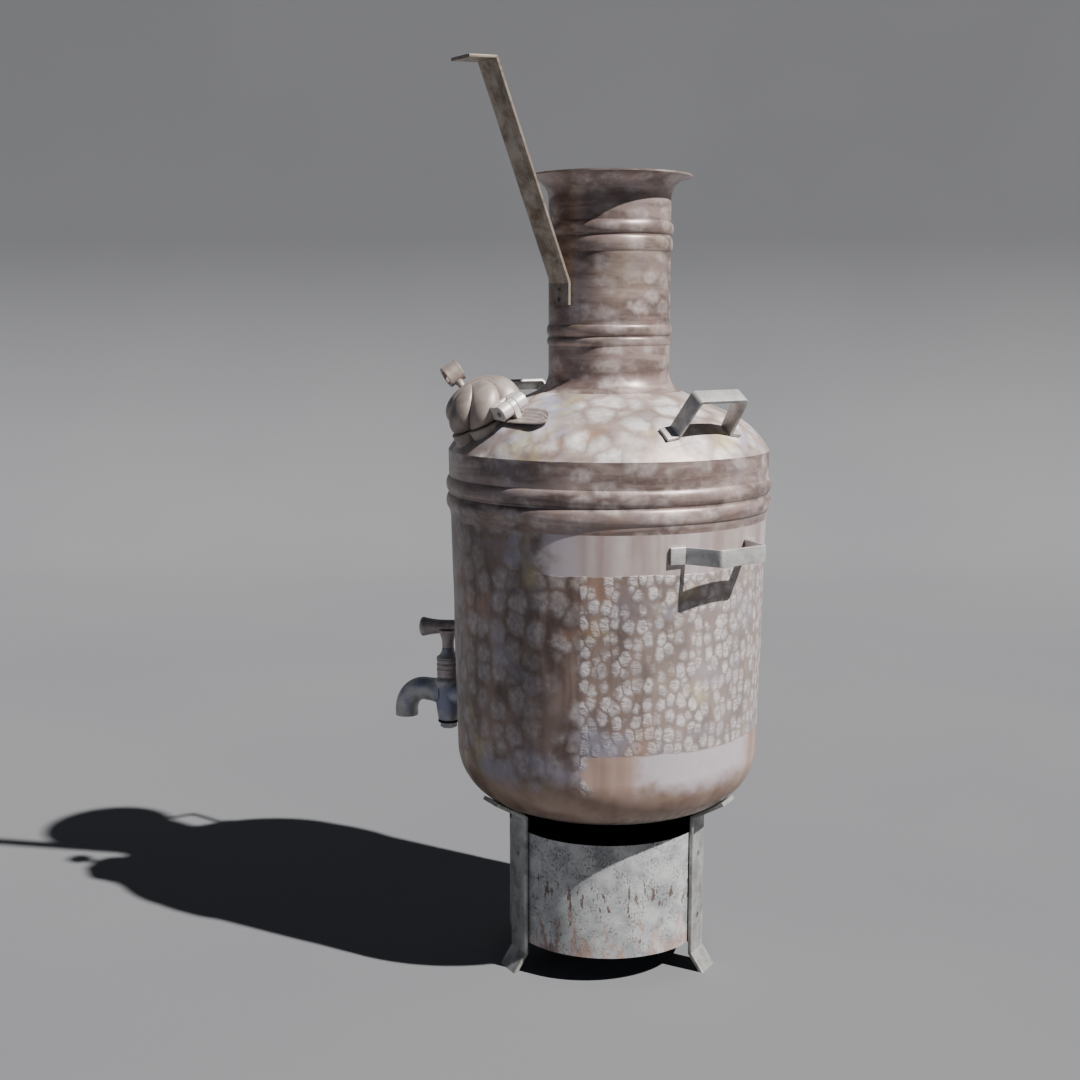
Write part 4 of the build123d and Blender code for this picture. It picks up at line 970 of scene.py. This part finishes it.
tap_out = spoke(-118.0)
tap_reach, tap_z = 196.0, 249.0
tap_point = tap_out * tap_reach
barrel = soften(
    [(7.6, 218.0), (10.8, 218.0), (11.6, 221.0), (13.6, 236.0), (14.6, 246.0), (14.6, 258.0), (14.2, 263.5),
     (10.4, 266.0), (10.4, 271.0), (9.1, 271.0)], 2.2,
)
body = [turned(barrel, tap_point, UP)]
elbow_at, elbow_r, spout_end = 30.0, 26.0, 216.0
spout_r, bore_r, fillet_rise, fillet_fade = 12.5, 9.0, 3.2, 11.0
t = np.radians(np.linspace(0, 90, 22))
straight = np.linspace(3, elbow_at, 12)[:-1]
bend = np.stack([elbow_at + elbow_r * np.sin(t), tap_z - elbow_r + elbow_r * np.cos(t)], 1)
fall = np.stack([np.full(4, elbow_at + elbow_r), np.linspace(tap_z - elbow_r, spout_end, 5)[1:]], 1)
line = np.vstack([np.stack([straight, np.full(11, tap_z)], 1), bend, fall])
path = tap_point + line[:, :1] * tap_out + line[:, 1:] * UP
swell = spout_r + fillet_rise * np.exp(-((line[:, 0] - 3) / fillet_fade) ** 2)
body.append(tube(path, swell, np.full(len(line), bore_r)))
tail_from = low_r + (high_r - low_r) * (tap_z - seam_z) / (wall_top_z - seam_z)
tail = soften([(9.0, -9.0), (12.9, -9.0), (12.9, 36.0), (14.0, 40.0), (9.0, 40.0)], 0.8)
tail_foot = tap_out * tail_from + UP * tap_z
body.append(turned(tail, tail_foot, tap_out))


def hexagon(a, h):
    """Flats of a hexagon: radius of the flat over radius of the corner, at angle a."""
    return cos(pi / 6) / np.cos(np.mod(a, pi / 3) - pi / 6) - 1 + 0 * h


shoulder = soften([(12.95, 11.1), (16.9, 11.1), (16.9, 18.8), (12.95, 18.8)], 0.7)
body.append(turned(shoulder, tail_foot, tap_out, 96, hexagon))
make("bib_tap_body", body, [tap_bronze], "boiler", ["tap_body"], 50)

# %% Gland nut, whose thread lines show on its upper part, and the cone above it
thread_r, thread_depth, thread_from, pitch = 12.30, 0.38, 274.0, 5.6
turns = np.linspace(267.2, 285.8, 90)
cut = np.clip((turns - thread_from + 1.5) / 1.5, 0, 1)
thread = np.stack([thread_r + thread_depth * cut * np.cos((turns - thread_from) * 2 * pi / pitch), turns], 1)
nut = np.vstack([[(10.35, 267.2)], [(12.1, 267.0)], thread, [(12.2, 286.0)], [(10.35, 286.0)]])
collar = turned(nut, tap_point, UP)
make("gland_collar", [collar], [brown_bronze], "boiler", ["tap_gland_nut"], 50)
cone = soften(
    [(5.1, 271.2), (10.1, 271.2), (10.1, 286.2), (12.6, 286.2), (12.6, 288.0), (10.2, 289.6), (7.6, 293.0),
     (6.4, 298.0), (5.1, 298.0)], 1.2,
)
cone = turned(cone, tap_point, UP)
make("gland_cone", [cone], [tap_bronze], "boiler", ["tap_gland_follower"], 50)

# %% [markdown]
# ### T handle
# The crosspiece is waisted and ends in two swollen knobs, with a neck that flares into it.
# Radius at s, from -1 to 1 along the bar: waist + (knob - waist) |s / 0.84| ** 2.4, and past
# 0.84 it closes round the tip. A turned piece with this outline needs no separate knobs.

# %% T handle
bar_dir = np.array([-1.0, 0.0, 0.0])
half, waist_r, knob_r, knob_at, cross_z = 31.0, 7.4, 10.5, 0.84, 321.5
s = np.linspace(-1, 1, 61)
radius = waist_r + (knob_r - waist_r) * np.clip(np.abs(s) / knob_at, 0, 1) ** 2.4
tipness = np.clip((np.abs(s) - knob_at) / (1 - knob_at), 0, 1)
radius = radius * np.sqrt(np.clip(1 - 0.9 * tipness**2.4, 0.0, 1)) + 0.02
cross_piece = np.vstack([[(0.02, -half)], np.stack([radius, s * half], 1), [(0.02, half)]])
handle = [turned(cross_piece, tap_point + UP * cross_z, bar_dir)]
h = np.linspace(298.5, 318.5, 26)
flare = 6.4 + 5.6 * np.clip((h - 303) / 15.5, 0, 1) ** 2.0
neck_outline = np.vstack([[(5.1, 298.5)], np.stack([flare, h], 1), [(5.1, 318.0)]])
handle.append(turned(neck_outline, tap_point, UP))
make("tee_handle", handle, [brown_bronze], "tap_key", ["tap_handle"], 50)

# %% [markdown]
# ## Filler with its twisted lid
# The filler is a short tube with a scalloped flange that follows the dome. Its lid is cast
# with six lobes that twist as they rise, like a turban. The radius at angle a is
# r (root + (1 - root) |sin 3a| ** 0.62): the power under one makes round lobes that meet in
# sharp creases, and the mesh columns turn with the twist, so each crease is one clean edge.


# %% Shapes on the dome
def on_dome(frame_at, x, y, low=-30.0):
    """Height of the dome's skin over the local point (x, y), by repeated correction."""
    origin, X, Y, N = frame_at
    h = np.zeros_like(x)
    for _ in range(12):
        p = origin + x[..., None] * X + y[..., None] * Y + h[..., None] * N
        r = np.hypot(p[..., 0], p[..., 1])
        h = np.maximum(h - (p[..., 2] - dome_height(r)) * N[2], low)
    return h


def placed(frame_at, x, y, h):
    """Local coordinates to points in mm."""
    origin, X, Y, N = frame_at
    return origin + x[..., None] * X + y[..., None] * Y + h[..., None] * N


def lobe(a, root=0.80, count=6):
    """Radius share of the lobes: round crests, sharp creases at the roots."""
    return root + (1 - root) * np.abs(np.sin(count / 2 * a)) ** 0.62


filler_at = dome_frame(-66.0, 126.0)
count = 6 * 32
a = np.linspace(0, 2 * pi, count, endpoint=False)[:, None]

# %% Flange and tube
columns = np.array([
    # radius, height, scalloped, follows the dome
    (22.0, 12.0, 0, 0), (24.0, 12.0, 0, 0), (24.0, 2.9, 0, 0), (24.4, 2.5, 0, 0), (32.0, 2.5, 1, 0),
    (40.0, 2.45, 1, 0), (40.7, 2.2, 1, 0), (40.95, 1.6, 1, 0), (40.95, 0.4, 1, 0), (40.95, 0.02, 1, 1),
    (40.0, -0.3, 1, 1), (26.0, -0.3, 1, 1), (24.0, -0.6, 0, 1), (22.0, -0.6, 0, 1), (22.0, 0.0, 0, 1),
])
scalloped = columns[:, 2][None, :]
r = columns[:, 0][None, :] * np.where(scalloped > 0, lobe(a), 1.0)
r = np.maximum(r, 22.0)
x, y = r * np.cos(a), r * np.sin(a)
h = columns[:, 1][None, :] + np.where(columns[:, 3][None, :] > 0, on_dome(filler_at, x, y), 0.0)
flange = patch(placed(filler_at, x, y, h))
make("scalloped_flange", [flange], [cast], "boiler", ["filler_neck"], 50)

# %% Lid
lid_r, lid_base, cap_h, seat_h, cavity_r = 40.0, 2.8, 36.8, 14.1, 28.5
t = np.concatenate([[0.0, 0.02, 0.05], np.linspace(0.09, 1.0, 44)])
widest = 0.25
skirt = 1 - 0.07 * ((widest - t) / widest) ** 2
share = np.where(t < widest, skirt, np.sqrt(1 - np.clip((t - widest) / 0.77, 0, 1) ** 2))
share[:3] -= [0.03, 0.008, 0.0]
top_r = np.array([0.7, 0.4, 0.1, 0.001]) * share[-1]
outline_r = np.concatenate([[cavity_r / lid_r], share, top_r, [0.001, cavity_r / lid_r]])
top_h = lid_base + cap_h + np.array([0.25, 0.35, 0.4, 0.4])
outline_h = np.concatenate([[lid_base], lid_base + t * cap_h, top_h, [seat_h, seat_h]])
depth = np.concatenate([[0], np.full(len(t), 1.0), [0.8, 0.4, 0.0, 0.0], [0, 0]])
turn = np.radians(40.0) * np.clip((outline_h - lid_base) / cap_h, 0, 1)
turn[-2:] = 0
wave = 1 + depth[None, :] * (lobe(a) - 1)
x = lid_r * outline_r[None, :] * wave * np.cos(a + turn[None, :])
y = lid_r * outline_r[None, :] * wave * np.sin(a + turn[None, :])
lid = patch(placed(filler_at, x, y, outline_h[None, :] + 0 * a))
make("twisted_lid", [lid], [cast], "lid", ["filler_lid"], 38)

# %% [markdown]
# ### Hinge and eye
# The lid turns on a pin through two cheeks and one tongue. The tongue stands on a leaf, a
# cast plate with raised ribs that is riveted to the dome. On the other side a short tube on
# a stem is the eye that a cord or a padlock went through.


# %% Prism with soft edges
def prism(outline, low, high, frame_at, soft=1.0, steps=4):
    """Outline in (x, height), extended along y from low to high; its ends shrink by soft."""
    outline = np.asarray(outline, float)
    middle = outline.mean(0)
    out = outline - middle
    size = np.hypot(out[:, 0], out[:, 1]).mean()
    t = np.linspace(0, pi / 2, steps)
    at = np.concatenate([low + soft * (1 - np.cos(t)), high - soft * (1 - np.cos(t))[::-1]])
    shrink = 1 - soft / size * np.concatenate([1 - np.sin(t), (1 - np.sin(t))[::-1]])
    grid = middle + out[None] * shrink[:, None, None]
    x, h = grid[..., 0], grid[..., 1]
    return patch(placed(frame_at, x, at[:, None] + 0 * x, h), False, True)


hinge_at = dome_frame(-66.0, 126.0, 15.0)
reach, pin_h, knuckle = 46.0, 15.0, 7.9
round_end = arc_points((reach, pin_h), knuckle, -80, 80, 22)
cheek = soften(np.vstack([[(31.0, 8.6), (41.0, 8.1)], round_end, [(41.0, 21.9), (33.0, 21.9)]]), 1.5, 4)
root = soften([(31.0, 8.6), (37.5, 8.2), (37.5, 21.9), (33.0, 21.9)], 1.2, 4)
blocks = [prism(cheek, 3.4, 15.0, hinge_at, 0.7), prism(cheek, -15.0, -3.4, hinge_at, 0.7),
          prism(root, -14.6, 14.6, hinge_at, 0.7)]
# The cheeks get the paler cast copper, which is painted sunlight.
make("hinge_cheeks", blocks, [cast_painted_sunlit], "lid", ["lid_knuckle"], 50)

# %% Leaf with ribs and its tongue
leaf_at = dome_frame(-34.9, 121.5, -10.0)
t = np.concatenate([[0.0, 0.006, 0.02], np.linspace(0.05, 0.97, 60), [0.985, 0.996, 1.0]])
leaf_half, leaf_mid, rib = 24.0, -3.1, 0.55
upper = leaf_mid + 18.6 * (1 - t**4.3)
lower = leaf_mid - 12.4 * np.sqrt(np.clip(1 - t**7.9, 0, 1))
edge = 0.35 * np.exp(-np.minimum(t, 1 - t) / 0.012)
across = np.linspace(-1, 1, 81)
under = across[::-8][:-1]
ribs = rib * np.abs(np.cos(across * pi * 2.5)) ** 1.4
side = np.clip((1 - np.abs(across)) / 0.06, 0, 1)
top_h = 3.9 - 0.62 * (rib - ribs) / rib - 0.6 * (1 - side) ** 2
loop_v = np.concatenate([across, under])
loop_h = np.concatenate([top_h, np.full(len(under), 1.5)])
middle, half = (upper + lower) / 2, (upper - lower) / 2 * (1 - 0.02 * (edge > 0.3))
x = (-leaf_half + 2 * leaf_half * t)[:, None] + 0 * loop_v[None, :]
y = middle[:, None] + half[:, None] * loop_v[None, :]
h = loop_h[None, :] - edge[:, None] * (loop_h[None, :] > 2)
leaf = patch(placed(leaf_at, x, y, h), False, True)
tongue_foot = [(46.3, 6.0), (46.3, 1.0), (53.6, 1.0), (53.0, 8.0)]
tongue = soften(np.vstack([arc_points((reach, pin_h), 7.6, 0, 262, 40), tongue_foot]), 0.6, 3)
make("ribbed_leaf", [leaf], [cast], "boiler", ["hinge_leaf"], 50)
# The tongue also gets the paler cast copper, which is painted sunlight.
make("hinge_tongue", [prism(tongue, -3.0, 3.0, hinge_at, 0.3)], [cast_painted_sunlit], "boiler")

# %% Eye on its stem
eye_middle = placed(filler_at, *(np.array(v) for v in (-30.0, -4.0, 50.0)))
stem_foot = placed(filler_at, *(np.array(v) for v in (-16.0, -2.0, 18.0)))
eye_axis = np.array([-0.80, -0.30, -0.52])
eye_axis /= np.linalg.norm(eye_axis)
s = np.linspace(-1, 1, 17)
path = eye_middle + 8.0 * s[:, None] * eye_axis
flare = 10.4 + 0.6 * np.abs(s) ** 6 - 0.5 * (np.abs(s) > 0.99)
eye = [tube(path, flare, np.full(17, 6.6) + 0.4 * (np.abs(s) > 0.99), 64)]
stem = stem_foot - eye_middle
length = np.linalg.norm(stem)
stem_line = [(0.02, 8.0), (5.4, 8.0), (3.9, 11.5), (3.3, 16.0), (3.4, 24.0), (4.4, length - 1),
             (0.02, length - 1)]
eye.append(turned(soften(stem_line, 1.0, 4), eye_middle, stem, 40))
make("lid_pull_eye", eye, [cast], "lid", ["lid_eye"], 50)

# %% [markdown]
# ## Pieces that keep their CAD shape
# Rivets, washers, pins, the plug and the bottom nut are plain turned shapes, and the frame
# already has them exactly. They only need their finish.

# %% Finishes on the CAD pieces
rivet_steel = galvanised("galvanised_rivet_steel", "#a3a29e", "#6b6965", 0.5)
rivet_copper = old_copper(
    "rivet_copper_dull", 9.0, 0.35, ("#7a5d50", "#a58777"), ("#b5a49b", "#cdc2bb"), bump_mm=0.06, tint=0.3,
)
rubber = soot("black_rubber_aged", "#2b2a2a", "#191818")
kept = {
    "stand_rivets": rivet_steel, "neck_arm_rivets": rivet_steel, "shoulder_handle_rivets": rivet_steel,
    "side_handle_rivets": rivet_steel, "hinge_leaf_rivets": rivet_copper, "hinge_pin": cast,
    "tap_boss": tap_bronze, "tap_fibre_washer": fibre, "tap_packing": fibre, "tap_plug": tap_bronze,
    "tap_handle_pin": brown_bronze, "tap_bottom_washer": rubber, "tap_bottom_nut": tap_bronze,
    "filler_gasket": rubber,
}
for name, material in kept.items():
    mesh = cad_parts[name].data
    mesh.materials.clear()
    mesh.materials.append(material)
left = [n for n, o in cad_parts.items() if n not in kept and not o.hide_render]
print("kept:", len(kept), "still plain:", left)

# %% [markdown]
# ## Studio
# A pale floor that curves up into a backdrop, so no horizon line shows. One narrow key from the
# upper right front casts a clear shadow, and a weak fill, low from the left, keeps the dark
# side's detail.


# %% Floor and backdrop
def plain_paper():
    """Matt paper: a very faint unevenness, no gloss."""
    material, tree, shader = new_finish("matt_backdrop_paper")
    where = node(tree, "ShaderNodeTexCoord").outputs["Object"]
    cloud = window(tree, grain(tree, where, 900.0, 2.0), 0.3, 0.7)
    surface(tree, shader, blend(tree, cloud, "#6e6f72", "#727375"), 0.9)
    return material


front, back, curve, top, half_width = -3.0, 2.2, 0.9, 4.5, 5
t = np.linspace(0, pi / 2, 24)[1:]
run = np.concatenate([np.linspace(front, back, 12), back + curve * np.sin(t), [back + curve]])
rise = np.concatenate([np.zeros(12), curve - curve * np.cos(t), [top]])
wide = np.linspace(-half_width, half_width, 3)[:, None]
sheet = np.stack([wide + 0 * run, run + 0 * wide, rise + 0 * wide], -1)
rows, cols = sheet.shape[:2]
r, c = (v.ravel() for v in np.meshgrid(np.arange(rows - 1), np.arange(cols - 1), indexing="ij"))
quads = np.stack([r * cols + c, (r + 1) * cols + c, (r + 1) * cols + c + 1, r * cols + c + 1], 1)
mesh = bpy.data.meshes.new("studio_sweep")
mesh.from_pydata(sheet.reshape(-1, 3).tolist(), [], quads.tolist())
mesh.polygons.foreach_set("use_smooth", [True] * len(quads))
mesh.materials.append(plain_paper())
sweep = bpy.data.objects.new("studio_sweep", mesh)
bpy.context.scene.collection.objects.link(sweep)
sweep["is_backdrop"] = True
print("studio sweep:", len(quads), "faces")

# %% Lights
from mathutils import Vector


def lamp(name, kind, towards, energy, colour, place=(0.0, 0.0, 0.0), **settings):
    """Light of that kind at place, in metres, shining towards."""
    data = bpy.data.lights.new(name, kind)
    data.energy, data.color = energy, hexrgb(colour)[:3]
    for key, value in settings.items():
        setattr(data, key, value)
    obj = bpy.data.objects.new(name, data)
    obj.location = place
    obj.rotation_euler = Vector(towards).to_track_quat("-Z", "Y").to_euler()
    bpy.context.scene.collection.objects.link(obj)
    print(f"{name}: {kind} {energy}")


lamp("key", "SUN", (-0.599, 0.320, -0.734), 9.0, "#fffdfb", angle=radians(1.0))
lamp("fill", "AREA", (3.4, 1.6, -0.5), 7.0, "#d6e2ff", (-3.4, -1.6, 0.9), size=1.8)
world = bpy.data.worlds.new("studio_air")
world.use_nodes = True
world.node_tree.nodes["Background"].inputs[0].default_value = hexrgb("#c3d2f4")
world.node_tree.nodes["Background"].inputs[1].default_value = 0.042
bpy.context.scene.world = world

# %% Camera
lens = bpy.data.cameras.new("viewpoint")
lens.lens, lens.sensor_width = 50.0, 36.0
camera = bpy.data.objects.new("viewpoint", lens)
camera.location = (0.0, -1.50346, 0.65091)
camera.rotation_euler = (radians(90 - 8.322), 0.0, radians(2.609))
bpy.context.scene.collection.objects.link(camera)
bpy.context.scene.camera = camera
print("camera at", *(round(v, 3) for v in camera.location))

# %% [markdown]
# ## Sizes
# The margin between the dressed model and the CAD box is printed for each side. The dressed
# model must stay in the CAD box.

# %% Print the margins inside the CAD box
look_low, look_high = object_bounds()
for axis, a, b, c, d in zip("xyz", cad_low, look_low, cad_high, look_high):
    print(axis, "low", round((b - a) * 1000, 2), "mm inside, high", round((c - d) * 1000, 2), "mm inside")
